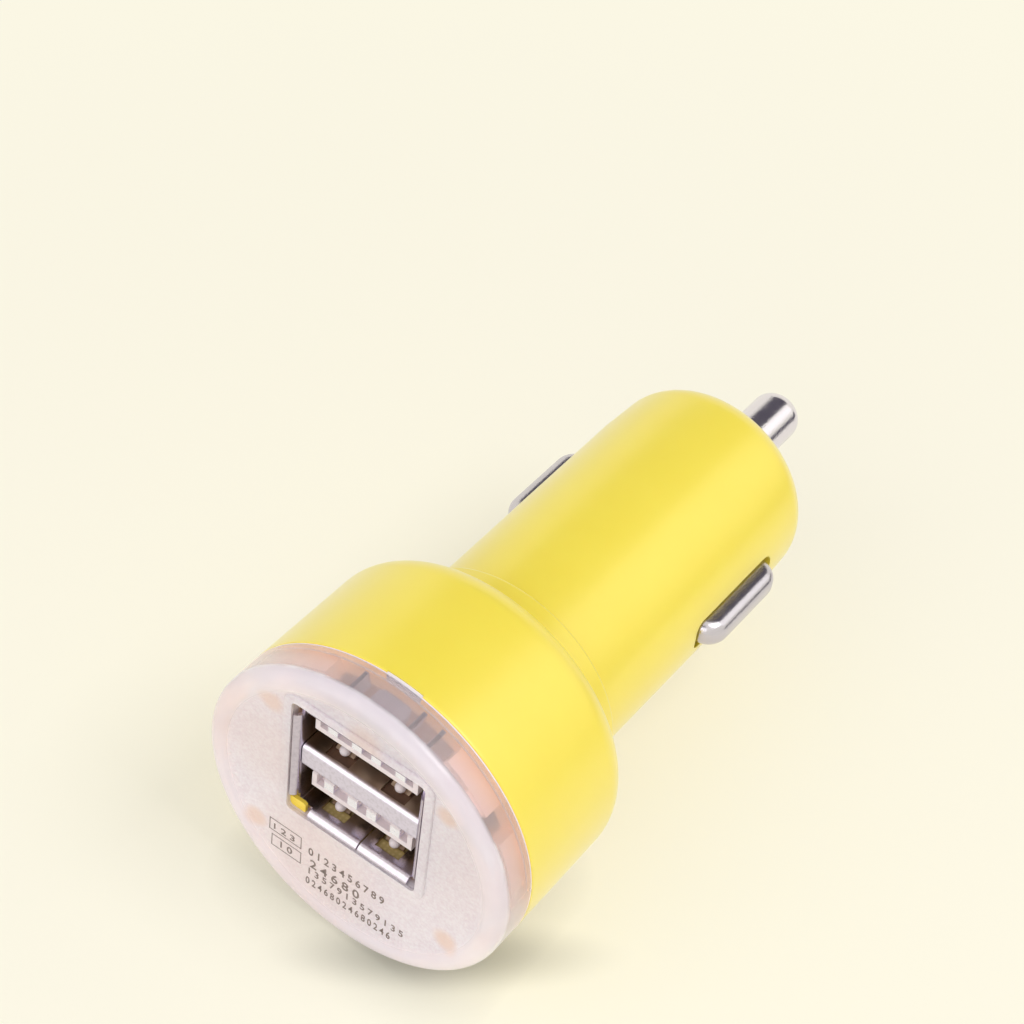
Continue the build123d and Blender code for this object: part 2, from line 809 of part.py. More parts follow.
upper_terminals, lower_terminals = usb_terminals()
contact = ground_contact()
leaf = contact_spring()
pieces = {
    "body_shell": body_shell(),
    "end_cap": end_cap(),
    "usb_shell": usb_shell(),
    "usb_divider": usb_divider(),
    "usb_insulator": usb_insulator(),
    "usb_upper_terminals": upper_terminals,
    "usb_lower_terminals": lower_terminals,
    "circuit_board": circuit_board(),
    "input_capacitor": capacitor(-capacitor_spacing / 2),
    "output_capacitor": capacitor(capacitor_spacing / 2),
    "inductor_core": inductor_core(),
    "inductor_winding": inductor_winding(),
    "converter_chip": converter_chip(),
    "chip_leads": chip_leads(),
    "rectifier_diode": rectifier_diode(),
    "chip_resistors": small_chips(4, resistor_y),
    "ceramic_capacitors": small_chips(3, ceramic_y),
    "indicator_led": indicator_led(),
    "spring_plate": spring_plate(),
    "pin_spring": pin_spring(),
    "center_pin": center_pin(),
    "right_ground_contact": contact,
    "left_ground_contact": mirror(contact, Plane.YZ),
    "right_contact_spring": leaf,
    "left_contact_spring": mirror(leaf, Plane.YZ),
}

os.makedirs("parts", exist_ok=True)
for node, piece in pieces.items():
    solids = piece if isinstance(piece, list) else [piece]
    export_step(Compound(children=[s for p in solids for s in p.solids()]), f"parts/{node}.step")
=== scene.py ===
import math
import bmesh
import bpy
from mathutils import Matrix, Vector


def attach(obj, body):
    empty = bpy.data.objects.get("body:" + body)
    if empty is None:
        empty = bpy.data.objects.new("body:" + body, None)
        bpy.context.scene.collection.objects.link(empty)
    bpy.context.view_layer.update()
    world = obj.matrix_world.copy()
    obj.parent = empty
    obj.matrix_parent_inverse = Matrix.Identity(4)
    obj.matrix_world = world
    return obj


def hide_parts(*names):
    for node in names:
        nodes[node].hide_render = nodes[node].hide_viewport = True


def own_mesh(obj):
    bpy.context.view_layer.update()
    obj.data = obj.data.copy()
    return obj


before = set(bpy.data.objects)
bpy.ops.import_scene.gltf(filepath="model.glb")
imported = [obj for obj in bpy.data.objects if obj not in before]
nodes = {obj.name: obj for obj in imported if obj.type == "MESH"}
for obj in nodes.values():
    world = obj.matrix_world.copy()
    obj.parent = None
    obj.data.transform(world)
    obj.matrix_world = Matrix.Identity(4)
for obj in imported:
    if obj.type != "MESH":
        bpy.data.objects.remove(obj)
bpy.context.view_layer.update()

MM = 0.001


# Body shell. One glossy yellow ABS moulding: round head with a soft shoulder, thin collar,
# straight barrel, domed nose. It is moulded hollow, and the cap snaps over its spigot.
# Sizes are in millimetres, and a ring is (radius, y) about the plug's axis.
barrel_radius, collar_radius, shoulder_radius, head_radius = 10.4, 11.5, 15.45, 15.6
collar_y, shoulder_y, mouth_y, nose_y = 0, -3, -17.65, 36.7
barrel_rings = (27.2, 14.0)
seam_radius, seam_y = 15.596, -17.3
spigot_bore, spigot_radius, spigot_back_y, spigot_front_y = 12.6, 14.05, -15.55, -19.65
head_bore, head_bore_y, head_floor_y = 13.8, -14.35, -4.8
barrel_bore, barrel_end_y = 8.7, 29.0
pin_hole, nose_face, nose_bore, nose_seat_y = 2.65, 4.3, 4.55, 31.5
dome_base, dome_width, dome_height, dome_middle = 31.0, 7.2, 4.6, 3.0
dome_turn, dome_steps = 79.6, 16
round_steps = 192


def choose(piece):
    """Selects one piece alone and makes it active."""
    bpy.ops.object.select_all(action="DESELECT")
    piece.select_set(True)
    bpy.context.view_layer.objects.active = piece


def turn_rings(name, rings, steps, ends=False):
    """Lathes rings about Y: one circle, then extruded, moved and scaled."""
    bpy.ops.object.select_all(action="DESELECT")
    radius, y = rings[0]
    bpy.ops.mesh.primitive_circle_add(
        vertices=steps, radius=radius * MM, location=(0, y * MM, 0), rotation=(math.pi / 2, 0, 0),
        fill_type="TRIFAN" if ends else "NOTHING",
    )
    piece = bpy.context.object
    piece.name = name
    bpy.ops.object.transform_apply(location=True, rotation=True, scale=True)
    bpy.ops.object.mode_set(mode="EDIT")
    mesh = bmesh.from_edit_mesh(piece.data)
    for edge in mesh.edges:
        edge.select_set(edge.is_boundary or edge.is_wire)
    bmesh.update_edit_mesh(piece.data)
    for (r0, y0), (r1, y1) in zip(rings, rings[1:]):
        bpy.ops.mesh.extrude_edges_move(TRANSFORM_OT_translate={"value": (0, (y1 - y0) * MM, 0)})
        bpy.ops.transform.resize(value=(r1 / r0, 1, r1 / r0), center_override=(0, y1 * MM, 0))
    if ends:
        bpy.ops.mesh.edge_face_add()
        bpy.ops.mesh.poke()
    bpy.ops.mesh.select_all(action="SELECT")
    bpy.ops.mesh.remove_doubles(threshold=1e-6)
    bpy.ops.mesh.normals_make_consistent(inside=False)
    bpy.ops.object.mode_set(mode="OBJECT")
    return piece


def bevel_edges(piece, wanted, size, segments):
    """Bevels the edges that wanted picks by the places of their two ends, in millimetres."""
    choose(piece)
    bpy.ops.object.mode_set(mode="EDIT")
    bpy.ops.mesh.select_mode(type="EDGE")
    bpy.ops.mesh.select_all(action="DESELECT")
    mesh = bmesh.from_edit_mesh(piece.data)
    for edge in mesh.edges:
        a, b = (v.co / MM for v in edge.verts)
        edge.select_set(wanted(a, b))
    bmesh.update_edit_mesh(piece.data)
    bpy.ops.mesh.bevel(offset=size * MM, segments=segments, affect="EDGES")
    bpy.ops.object.mode_set(mode="OBJECT")


def round_rings(piece, rings):
    """Rounds edge rings, each given by its radius, y, size and number of segments."""
    for radius, y, size, segments in rings:
        def on_ring(a, b):
            return all(abs(v.y - y) < 0.02 and abs(math.hypot(v.x, v.z) - radius) < 0.02 for v in (a, b))
        bevel_edges(piece, on_ring, size, segments)


def block(name, middle, size):
    """Plain block, as the start of a piece or as a cutter."""
    bpy.ops.object.select_all(action="DESELECT")
    bpy.ops.mesh.primitive_cube_add(size=1, location=tuple(v * MM for v in middle))
    piece = bpy.context.object
    piece.name = name
    piece.scale = tuple(v * MM for v in size)
    bpy.ops.object.transform_apply(location=True, rotation=True, scale=True)
    return piece


def ring_sector(name, angles, radii, ends):
    """Stretch of a ring, from a radial face spun about Y. Angles run from +X towards +Z, in degrees."""
    (r0, r1), (y0, y1) = radii, ends
    bpy.ops.object.select_all(action="DESELECT")
    bpy.ops.mesh.primitive_plane_add(size=1, location=((r0 + r1) / 2 * MM, (y0 + y1) / 2 * MM, 0))
    piece = bpy.context.object
    piece.name = name
    piece.scale = ((r1 - r0) * MM, (y1 - y0) * MM, 1)
    bpy.ops.object.transform_apply(location=True, rotation=True, scale=True)
    piece.rotation_euler = (0, -math.radians(angles[0]), 0)
    bpy.ops.object.transform_apply(location=True, rotation=True, scale=True)
    bpy.ops.object.mode_set(mode="EDIT")
    bpy.ops.mesh.select_all(action="SELECT")
    turn = math.radians(angles[1] - angles[0])
    steps = max(2, round(math.degrees(turn) / 2))
    bpy.ops.mesh.duplicate()
    bpy.ops.mesh.spin(steps=steps, angle=turn, center=(0, 0, 0), axis=(0, 1, 0))
    bpy.ops.mesh.select_all(action="SELECT")
    bpy.ops.mesh.remove_doubles(threshold=1e-6)
    bpy.ops.mesh.normals_make_consistent(inside=False)
    bpy.ops.object.mode_set(mode="OBJECT")
    return piece


def boolean(piece, tool, operation):
    """Cuts a tool out of a piece, joins it on or keeps what both share, and removes the tool."""
    choose(piece)
    modifier = piece.modifiers.new("join", "BOOLEAN")
    modifier.operation = operation
    modifier.solver = "EXACT"
    modifier.object = tool
    bpy.ops.object.modifier_apply(modifier=modifier.name)
    bpy.data.objects.remove(tool, do_unlink=True)


def smooth(piece, angle=30):
    """Merges slivers away and shades smooth, with the edges sharper than the angle kept sharp."""
    sliver = 0.002 * MM
    choose(piece)
    bpy.ops.object.mode_set(mode="EDIT")
    bpy.ops.mesh.select_all(action="SELECT")
    bpy.ops.mesh.remove_doubles(threshold=sliver)
    bpy.ops.mesh.dissolve_degenerate(threshold=sliver)
    bpy.ops.object.mode_set(mode="OBJECT")
    bpy.ops.object.shade_smooth_by_angle(angle=math.radians(angle))


dome = []
for step in range(dome_steps + 1):
    turn = math.radians(dome_turn * (1 - step / dome_steps))
    dome.append((dome_middle + dome_width * math.cos(turn), dome_base + dome_height * math.sin(turn)))
outside = [
    (pin_hole, nose_y), (nose_face, nose_y), *dome, *((barrel_radius, y) for y in barrel_rings),
    (barrel_radius, collar_y), (collar_radius, collar_y), (collar_radius, shoulder_y),
    (shoulder_radius, shoulder_y), (seam_radius, seam_y),
]
inside = [
    (head_radius, mouth_y), (spigot_bore, mouth_y), (spigot_bore, spigot_back_y), (head_bore, head_bore_y),
    (head_bore, head_floor_y), (barrel_bore, head_floor_y), (barrel_bore, barrel_end_y),
    (nose_bore, nose_seat_y), (pin_hole, nose_seat_y), (pin_hole, nose_y),
]
body = turn_rings("yellow_body", outside + inside, round_steps)
round_rings(body, (
    (shoulder_radius, shoulder_y, 3.2, 14), (collar_radius, shoulder_y, 0.4, 5),
    (collar_radius, collar_y, 0.4, 5), (nose_face, nose_y, 0.4, 5), (head_radius, mouth_y, 0.12, 3),
))
contact_y, slot_length, slot_width, slot_corner = 20.6, 12.4, 3.4, 1.2
for side in (-1, 1):
    slot = block("slot", (side * 9.6, contact_y, 0), (6, slot_length, slot_width))
    bevel_edges(slot, lambda a, b: abs(a.x - b.x) > 1, slot_corner, 8)
    boolean(body, slot, "DIFFERENCE")
snap_start, snap_end = 79, 92.5
keyway = ring_sector("keyway", (snap_start, snap_end), (spigot_radius, 15.9), (-17.8, -17.45))
boolean(body, keyway, "DIFFERENCE")
for angles in ((-29, 27), (38, 60), (111, 142), (153, 240), (291, 330.9)):
    wall = ring_sector("spigot", angles, (12.65, spigot_radius), (spigot_front_y, seam_y))
    boolean(body, wall, "UNION")
for angle in (44, 136, 217, 326):
    pad = ring_sector("pad", (angle - 4.8, angle + 4.8), (12.75, 13.95), (-20.2, -19.4))
    boolean(body, pad, "UNION")
smooth(body, 35)


def srgb(code):
    """Linear colour of an sRGB hex value such as F6E854."""
    parts = [int(code[i:i + 2], 16) / 255 for i in (0, 2, 4)]
    return tuple(p / 12.92 if p <= 0.04045 else ((p + 0.055) / 1.055) ** 2.4 for p in parts) + (1.0,)


def add_node(tree, kind, inputs=None, **settings):
    """Adds a shader node. An input takes a plain value, or the output of another node."""
    made = tree.nodes.new(kind)
    for name, value in settings.items():
        setattr(made, name, value)
    for key, value in (inputs or {}).items():
        if isinstance(value, bpy.types.NodeSocket):
            tree.links.new(value, made.inputs[key])
        else:
            made.inputs[key].default_value = value
    return made


def new_finish(name):
    """An empty node material and its tree."""
    finish = bpy.data.materials.new(name)
    finish.use_nodes = True
    finish.node_tree.nodes.clear()
    return finish, finish.node_tree


def paint(piece, finish):
    """Gives a piece one material and nothing else."""
    piece.data.materials.clear()
    piece.data.materials.append(finish)


# Injection-moulded ABS, polished tool: deep gloss over a strong yellow, with a faint long-wave
# orange peel (4 mm) and a little handling grain in the gloss (0.3 mm). The inside of the head and
# the thin spigot under the cap have a painted amber glow: amber colour, paler to the front, and a
# faint amber emission, in place of light that comes through the wall.
abs_yellow, tree = new_finish("gloss_yellow_abs")
place = add_node(tree, "ShaderNodeTexCoord").outputs["Object"]
wave = add_node(tree, "ShaderNodeTexNoise", {"Vector": place, "Scale": 1 / (4 * MM), "Detail": 2.0})
grain = add_node(tree, "ShaderNodeTexNoise", {"Vector": place, "Scale": 1 / (0.3 * MM), "Detail": 3.0})
along = add_node(tree, "ShaderNodeSeparateXYZ", {"Vector": place})
across = add_node(tree, "ShaderNodeVectorMath", {0: place, 1: (1, 0, 1)}, operation="MULTIPLY")
radius = add_node(tree, "ShaderNodeVectorMath", {0: across.outputs["Vector"]}, operation="LENGTH")
bore = add_node(tree, "ShaderNodeMapRange", {
    "Value": radius.outputs["Value"], "From Min": 14.3 * MM, "From Max": 14.1 * MM,
})
head = add_node(tree, "ShaderNodeMapRange", {
    "Value": along.outputs["Y"], "From Min": -6.5 * MM, "From Max": -7.0 * MM,
})
hollow = add_node(tree, "ShaderNodeMath", {
    0: bore.outputs["Result"], 1: head.outputs["Result"],
}, operation="MULTIPLY")
step = add_node(tree, "ShaderNodeMapRange", {
    "Value": along.outputs["Y"], "From Min": -17.62 * MM, "From Max": mouth_y * MM,
})
painted_glow_zone = add_node(tree, "ShaderNodeMath", {
    0: hollow.outputs["Value"], 1: step.outputs["Result"],
}, operation="MAXIMUM")
tint = add_node(tree, "ShaderNodeMix", {
    0: wave.outputs["Fac"], "A": srgb("F8E244"), "B": srgb("FBE64C"),
}, data_type="RGBA")
# Painted glow: amber colour, paler to the front, and a faint amber emission on the inside of the head and on
# the spigot.
paler = add_node(tree, "ShaderNodeMapRange", {
    "Value": along.outputs["Y"], "From Min": -17.7 * MM, "From Max": -20.0 * MM,
})
painted_amber_glow = add_node(tree, "ShaderNodeMix", {
    0: paler.outputs["Result"], "A": srgb("FBC47C"), "B": srgb("F6D6C6"),
}, data_type="RGBA")
tint_and_painted_glow = add_node(tree, "ShaderNodeMix", {
    0: painted_glow_zone.outputs["Value"], "A": tint.outputs["Result"], "B": painted_amber_glow.outputs["Result"],
}, data_type="RGBA")
painted_glow_strength = add_node(tree, "ShaderNodeMath", {0: painted_glow_zone.outputs["Value"], 1: 0.28}, operation="MULTIPLY")
gloss = add_node(tree, "ShaderNodeMapRange", {"Value": grain.outputs["Fac"], "To Min": 0.3, "To Max": 0.4})
relief = add_node(tree, "ShaderNodeBump", {
    "Height": wave.outputs["Fac"], "Strength": 0.06, "Distance": 0.1 * MM,
})
shader = add_node(tree, "ShaderNodeBsdfPrincipled", {
    "Base Color": tint_and_painted_glow.outputs["Result"], "Roughness": gloss.outputs["Result"],
    "Normal": relief.outputs["Normal"], "IOR": 1.53,
    "Coat Weight": 1.0, "Coat Roughness": 0.33, "Coat IOR": 1.5, "Sheen Weight": 0.1, "Sheen Roughness": 0.4,
    "Subsurface Weight": 0.12, "Subsurface Radius": (1.2 * MM, 0.9 * MM, 0.2 * MM), "Subsurface Scale": 1.0,
    "Emission Color": painted_amber_glow.outputs["Result"], "Emission Strength": painted_glow_strength.outputs["Value"],
})
add_node(tree, "ShaderNodeOutputMaterial", {"Surface": shader.outputs["BSDF"]})
paint(body, abs_yellow)
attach(body, "housing")
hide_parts("body_shell")


# End cap. A shallow cup of frosted, faintly pink polycarbonate with a smooth rim and a raised
# frame round the USB window. Ribs, a sleeve and a snap tab behind it show through its clear band,
# and a key on its skirt drops into the body's keyway.
face_y, rim_y, cap_inside_y = -21.5, -21.95, -20.3
rim_foot, rim_inner, skirt_bore = 13.2, 14.0, 14.15
cap_middle, skirt_ring_y = 2.0, -18.0
cap = turn_rings("frosted_cap", [
    (cap_middle, face_y), (rim_foot, face_y), (rim_inner, rim_y), (head_radius, rim_y),
    (head_radius, skirt_ring_y), (head_radius, mouth_y), (skirt_bore, mouth_y), (skirt_bore, skirt_ring_y),
    (skirt_bore, cap_inside_y), (cap_middle, cap_inside_y),
], round_steps, ends=True)
round_rings(cap, (
    (head_radius, rim_y, 1.1, 8), (rim_inner, rim_y, 0.3, 4), (rim_foot, face_y, 0.3, 4),
    (head_radius, mouth_y, 0.12, 3), (skirt_bore, cap_inside_y, 0.3, 4),
))

window_x, window_z, window_middle_z, window_corner = 6.87, 6.92, 3.7, 0.5
frame_x, frame_z, frame_corner = window_x + 0.9, window_z + 0.9, 1.4
frame_y, sleeve_y, cap_back_y, tab_end_y = -21.7, -19.0, -20.6, -18.25


def rounded_block(name, half_x, y0, y1, half_z, corner):
    """Rounded rectangular block centred on the USB window, between two y planes."""
    size = (2 * half_x, y1 - y0, 2 * half_z)
    piece = block(name, (0, (y0 + y1) / 2, window_middle_z), size)
    bevel_edges(piece, lambda a, b: abs(a.y - b.y) > 0.5 * (y1 - y0), corner, 6)
    return piece


def disc(radius, y0, y1):
    """Round tool about the plug's axis, which trims what reaches past it."""
    return turn_rings("trim", [(1.0, y0), (radius, y0), (radius, y1), (1.0, y1)], round_steps, ends=True)


def tab_corner(a, b):
    """True on the two radial edges at the free end of the snap tab."""
    at_end = max(abs(a.y - tab_end_y), abs(b.y - tab_end_y)) < 0.02
    radial = abs(math.hypot(a.x, a.z) - math.hypot(b.x, b.z)) > 0.5
    angle = math.degrees(math.atan2(a.z, a.x))
    return at_end and radial and (angle < snap_start + 0.2 or angle > snap_end - 0.2)


raised = rounded_block("window_frame", frame_x, frame_y, -20.9, frame_z, frame_corner)
bevel_edges(raised, lambda a, b: max(abs(a.y - frame_y), abs(b.y - frame_y)) < 0.001, 0.17, 3)
boolean(raised, disc(14.45, -21.9, -20.0), "INTERSECT")
sleeve = rounded_block("window_sleeve", frame_x, cap_back_y, sleeve_y, frame_z, frame_corner)
boolean(sleeve, disc(12.4, -21.9, -18.0), "INTERSECT")
boolean(cap, raised, "UNION")
boolean(cap, sleeve, "UNION")
for angle in (67.5, 75.5, 99):
    rib = ring_sector("rib", (angle - 0.75, angle + 0.75), (12.7, 14.6), (cap_back_y, skirt_ring_y))
    boolean(cap, rib, "UNION")
tab = ring_sector("snap_tab", (snap_start, snap_end), (12.7, 13.7), (cap_back_y, tab_end_y))
bevel_edges(tab, tab_corner, 0.7, 6)
boolean(cap, tab, "UNION")
key = ring_sector("key", (snap_start + 0.1, snap_end - 0.1), (14.3, 15.5), (-17.9, -17.47))
boolean(cap, key, "UNION")
boolean(cap, rounded_block("window", window_x, -22.5, -17.0, window_z, window_corner), "DIFFERENCE")
smooth(cap, 35)

# Frosted polycarbonate: the middle of the face is spark-eroded to a fine matt sparkle (0.3 mm).
# A peach glow is painted on the face in small spots near the amber parts behind it, and broad and
# faint low on the face and to the left. The rim, the window frame and the band are polished and half
# clear, more so above. The ribs, the tab and the sleeve behind are painted greyer as shade, the parting
# edge at the seam is dull and white, and a broken white line along the top of the rim is a painted highlight.
frosted, tree = new_finish("frosted_polycarbonate")
place = add_node(tree, "ShaderNodeTexCoord").outputs["Object"]
along = add_node(tree, "ShaderNodeSeparateXYZ", {"Vector": place})
spread = add_node(tree, "ShaderNodeVectorMath", {0: place, 1: (1, 0, 1)}, operation="MULTIPLY")
radius = add_node(tree, "ShaderNodeVectorMath", {0: spread.outputs["Vector"]}, operation="LENGTH")
middle = add_node(tree, "ShaderNodeMapRange", {
    "Value": radius.outputs["Value"], "From Min": 13.7 * MM, "From Max": rim_foot * MM,
})
front = add_node(tree, "ShaderNodeMapRange", {
    "Value": along.outputs["Y"], "From Min": -21.40 * MM, "From Max": -21.45 * MM,
})
etched = add_node(tree, "ShaderNodeMath", {
    0: middle.outputs["Result"], 1: front.outputs["Result"],
}, operation="MULTIPLY")
seam = add_node(tree, "ShaderNodeMapRange", {
    "Value": along.outputs["Y"], "From Min": -17.86 * MM, "From Max": -17.80 * MM,
})
spark = add_node(tree, "ShaderNodeTexNoise", {
    "Vector": place, "Scale": 1 / (0.3 * MM), "Detail": 2.0, "Roughness": 0.6,
})
cloud = add_node(tree, "ShaderNodeTexNoise", {"Vector": place, "Scale": 1 / (5 * MM), "Detail": 3.0})
grain = add_node(tree, "ShaderNodeMapRange", {
    "Value": spark.outputs["Fac"], "From Min": 0.3, "From Max": 0.7, "To Min": -0.38, "To Max": 0.38,
})
speck = add_node(tree, "ShaderNodeMath", {
    0: grain.outputs["Result"], 1: etched.outputs["Value"], 2: cloud.outputs["Fac"],
}, operation="MULTIPLY_ADD")
milk = add_node(tree, "ShaderNodeMix", {
    0: speck.outputs["Value"], "A": srgb("EFE3EC"), "B": srgb("FEFAFF"),
}, data_type="RGBA")
# Painted glow: soft peach spots on the face, for amber light from the parts behind it.
painted_peach_glow = 0.0
for x, z, reach, strength in (
    (9.1, 8.8, 1.5, 0.75), (-9.1, 8.8, 1.7, 0.6), (-10.1, -7.6, 1.7, 0.75), (10.4, -7.0, 1.7, 0.75),
    (0.5, 11.0, 2.6, 0.5), (-4.0, -8.5, 9.0, 0.3), (-9.5, 2.0, 6.5, 0.15),
):
    away = add_node(tree, "ShaderNodeVectorMath", {
        0: spread.outputs["Vector"], 1: (x * MM, 0, z * MM),
    }, operation="DISTANCE")
    glow = add_node(tree, "ShaderNodeMapRange", {
        "Value": away.outputs["Value"], "From Min": reach * MM, "From Max": 0.3 * reach * MM,
        "To Max": strength,
    }, interpolation_type="SMOOTHSTEP")
    most = add_node(tree, "ShaderNodeMath", {0: painted_peach_glow, 1: glow.outputs["Result"]}, operation="MAXIMUM")
    painted_peach_glow = most.outputs["Value"]
milk_and_painted_glow = add_node(tree, "ShaderNodeMix", {
    0: painted_peach_glow, "A": milk.outputs["Result"], "B": srgb("F6D8C8"),
}, data_type="RGBA")
# Painted shade: the ribs, the tab and the sleeve inside the cap are coloured greyer.
bore = add_node(tree, "ShaderNodeMapRange", {
    "Value": radius.outputs["Value"], "From Min": 14.14 * MM, "From Max": 14.1 * MM,
})
behind = add_node(tree, "ShaderNodeMapRange", {
    "Value": along.outputs["Y"], "From Min": -20.28 * MM, "From Max": -20.2 * MM,
})
ribs = add_node(tree, "ShaderNodeMath", {
    0: bore.outputs["Result"], 1: behind.outputs["Result"],
}, operation="MULTIPLY")
with_painted_rib_shade = add_node(tree, "ShaderNodeMix", {
    0: ribs.outputs["Value"], "A": milk_and_painted_glow.outputs["Result"], "B": srgb("C8C0C8"),
}, data_type="RGBA")
# Painted highlight: a broken white line on the upper part of the rim's top edge, made opaque there.
edge = add_node(tree, "ShaderNodeMapRange", {
    "Value": along.outputs["Y"], "From Min": -20.6 * MM, "From Max": -20.8 * MM,
})
edge_end = add_node(tree, "ShaderNodeMapRange", {
    "Value": along.outputs["Y"], "From Min": -21.05 * MM, "From Max": -20.85 * MM,
})
upper = add_node(tree, "ShaderNodeMapRange", {
    "Value": along.outputs["Z"], "From Min": 3.0 * MM, "From Max": 7.0 * MM,
})
glints = add_node(tree, "ShaderNodeMapRange", {
    "Value": cloud.outputs["Fac"], "From Min": 0.42, "From Max": 0.62, "To Max": 0.6,
})
painted_highlight_line = 1.0
for part in (edge, edge_end, upper, glints):
    kept = add_node(tree, "ShaderNodeMath", {0: painted_highlight_line, 1: part.outputs["Result"]}, operation="MULTIPLY")
    painted_highlight_line = kept.outputs["Value"]
with_painted_highlight = add_node(tree, "ShaderNodeMix", {
    0: painted_highlight_line, "A": with_painted_rib_shade.outputs["Result"], "B": srgb("FFFFFF"),
}, data_type="RGBA")
rim = add_node(tree, "ShaderNodeMapRange", {
    "Value": along.outputs["Y"], "From Min": -20.65 * MM, "From Max": -21.0 * MM,
})
clear = add_node(tree, "ShaderNodeMapRange", {"Value": rim.outputs["Result"], "To Min": 0.78, "To Max": 0.28})
veil = add_node(tree, "ShaderNodeMapRange", {"Value": seam.outputs["Result"], "To Min": 1.0, "To Max": 0.1})
solid = add_node(tree, "ShaderNodeMapRange", {"Value": ribs.outputs["Value"], "To Min": 1.0, "To Max": 0.5})
dense = add_node(tree, "ShaderNodeMapRange", {
    "Value": along.outputs["Z"], "From Min": 2.0 * MM, "From Max": -6.0 * MM, "To Min": 1.0, "To Max": 0.65,
})
painted_highlight_veil = add_node(tree, "ShaderNodeMapRange", {"Value": painted_highlight_line, "To Min": 1.0, "To Max": 0.05})
open_share = 1.0
for part in (clear, veil, solid, dense, painted_highlight_veil):
    kept = add_node(tree, "ShaderNodeMath", {0: open_share, 1: part.outputs["Result"]}, operation="MULTIPLY")
    open_share = kept.outputs["Value"]
matt = add_node(tree, "ShaderNodeMapRange", {"Value": etched.outputs["Value"], "To Min": 0.2, "To Max": 0.42})
rise = add_node(tree, "ShaderNodeMath", {
    0: spark.outputs["Fac"], 1: etched.outputs["Value"],
}, operation="MULTIPLY")
relief = add_node(tree, "ShaderNodeBump", {
    "Height": rise.outputs["Value"], "Strength": 1.0, "Distance": 0.12 * MM,
})
shader = add_node(tree, "ShaderNodeBsdfPrincipled", {
    "Base Color": with_painted_highlight.outputs["Result"], "Roughness": matt.outputs["Result"],
    "Normal": relief.outputs["Normal"], "IOR": 1.45, "Transmission Weight": open_share,
    "Sheen Weight": 0.35, "Sheen Roughness": 0.4,
})
add_node(tree, "ShaderNodeOutputMaterial", {"Surface": shader.outputs["BSDF"]})
paint(cap, frosted)
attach(cap, "housing")
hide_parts("end_cap")


# Window gussets. Two small yellow ABS corner pieces of the socket's cradle, which show in the left
# corners of the window where the shell's lips stop. They fill the gap between lip and window.
# Moulded ABS, satin, a deeper yellow than the body's, with a faint cloud in it (0.6 mm).
gusset = rounded_block("window_gussets", 6.84, -21.2, -20.86, 6.89, 0.45)
boolean(gusset, rounded_block("bore", 6.1, -22.0, -20.0, 6.15, 1.7), "DIFFERENCE")
for x0, x1, z0, z1 in ((-5.2, 8.0, -4.0, 3.7), (-5.9, 8.0, 3.7, 12.0), (-8.0, 8.0, -2.1, 9.9)):
    gap = block("gap", ((x0 + x1) / 2, -21, (z0 + z1) / 2), (x1 - x0, 2, z1 - z0))
    boolean(gusset, gap, "DIFFERENCE")
cradle, tree = new_finish("deep_yellow_abs")
place = add_node(tree, "ShaderNodeTexCoord").outputs["Object"]
cloud = add_node(tree, "ShaderNodeTexNoise", {"Vector": place, "Scale": 1 / (0.6 * MM), "Detail": 3.0})
tone = add_node(tree, "ShaderNodeMix", {
    0: cloud.outputs["Fac"], "A": srgb("F4D23C"), "B": srgb("FADF58"),
}, data_type="RGBA")
shader = add_node(tree, "ShaderNodeBsdfPrincipled", {
    "Base Color": tone.outputs["Result"], "Roughness": 0.35, "IOR": 1.53,
})
add_node(tree, "ShaderNodeOutputMaterial", {"Surface": shader.outputs["BSDF"]})
paint(gusset, cradle)
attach(gusset, "housing")


# Face print. Two ruled boxes and four rows of plain digits, pad-printed low on the face and
# 0.02 mm proud. The digits are placeholders and carry no name or rating.
# Warm grey ink, matt and a little patchy (0.5 mm).
ink_thickness, rule_width = 0.02, 0.08
ink_y = face_y - ink_thickness / 2
printed = []
for digits, x0, x1, z0, z1 in (
    ("0123456789", -4.35, 3.9, -7.95, -6.95), ("24680", -4.1, 1.3, -9.55, -8.45),
    ("1357913579135", -4.2, 6.15, -10.6, -9.75), ("02468024680246", -4.45, 4.85, -12.1, -11.15),
    ("123", -8.2, -5.9, -7.7, -6.95), ("10", -7.4, -6.1, -9.7, -8.85),
):
    bpy.ops.object.select_all(action="DESELECT")
    bpy.ops.object.text_add()
    row = bpy.context.object
    row.data.body = digits
    row.data.size = 1.0
    row.data.extrude = ink_thickness / 2
    row.data.offset = 0.012
    row.data.resolution_u = 4
    row.data.space_character = 1.5
    bpy.ops.object.convert(target="MESH")
    row = bpy.context.object
    xs = [v.co.x for v in row.data.vertices]
    ys = [v.co.y for v in row.data.vertices]
    wide = (x1 - x0) / (max(xs) - min(xs))
    high = (z1 - z0) / (max(ys) - min(ys))
    row.scale = (wide * MM, high * MM, MM)
    row.rotation_euler = (math.pi / 2, 0, 0)
    row.location = ((x0 - wide * min(xs)) * MM, ink_y * MM, (z0 - high * min(ys)) * MM)
    bpy.ops.object.transform_apply(location=True, rotation=True, scale=True)
    printed.append(row)
for x0, x1, z0, z1 in ((-8.7, -5.14, -8.0, -6.4), (-8.4, -5.1, -10.05, -8.5)):
    middle = ((x0 + x1) / 2, ink_y, (z0 + z1) / 2)
    box = block("ruled_box", middle, (x1 - x0, ink_thickness, z1 - z0))
    blank = block("blank", middle, (x1 - x0 - 2 * rule_width, 1, z1 - z0 - 2 * rule_width))
    boolean(box, blank, "DIFFERENCE")
    printed.append(box)
marking = printed[0]
choose(marking)
for row in printed:
    row.select_set(True)
bpy.ops.object.join()
marking.name = "face_print"
bpy.ops.object.mode_set(mode="EDIT")
bpy.ops.mesh.select_all(action="SELECT")
bpy.ops.mesh.remove_doubles(threshold=1e-6)
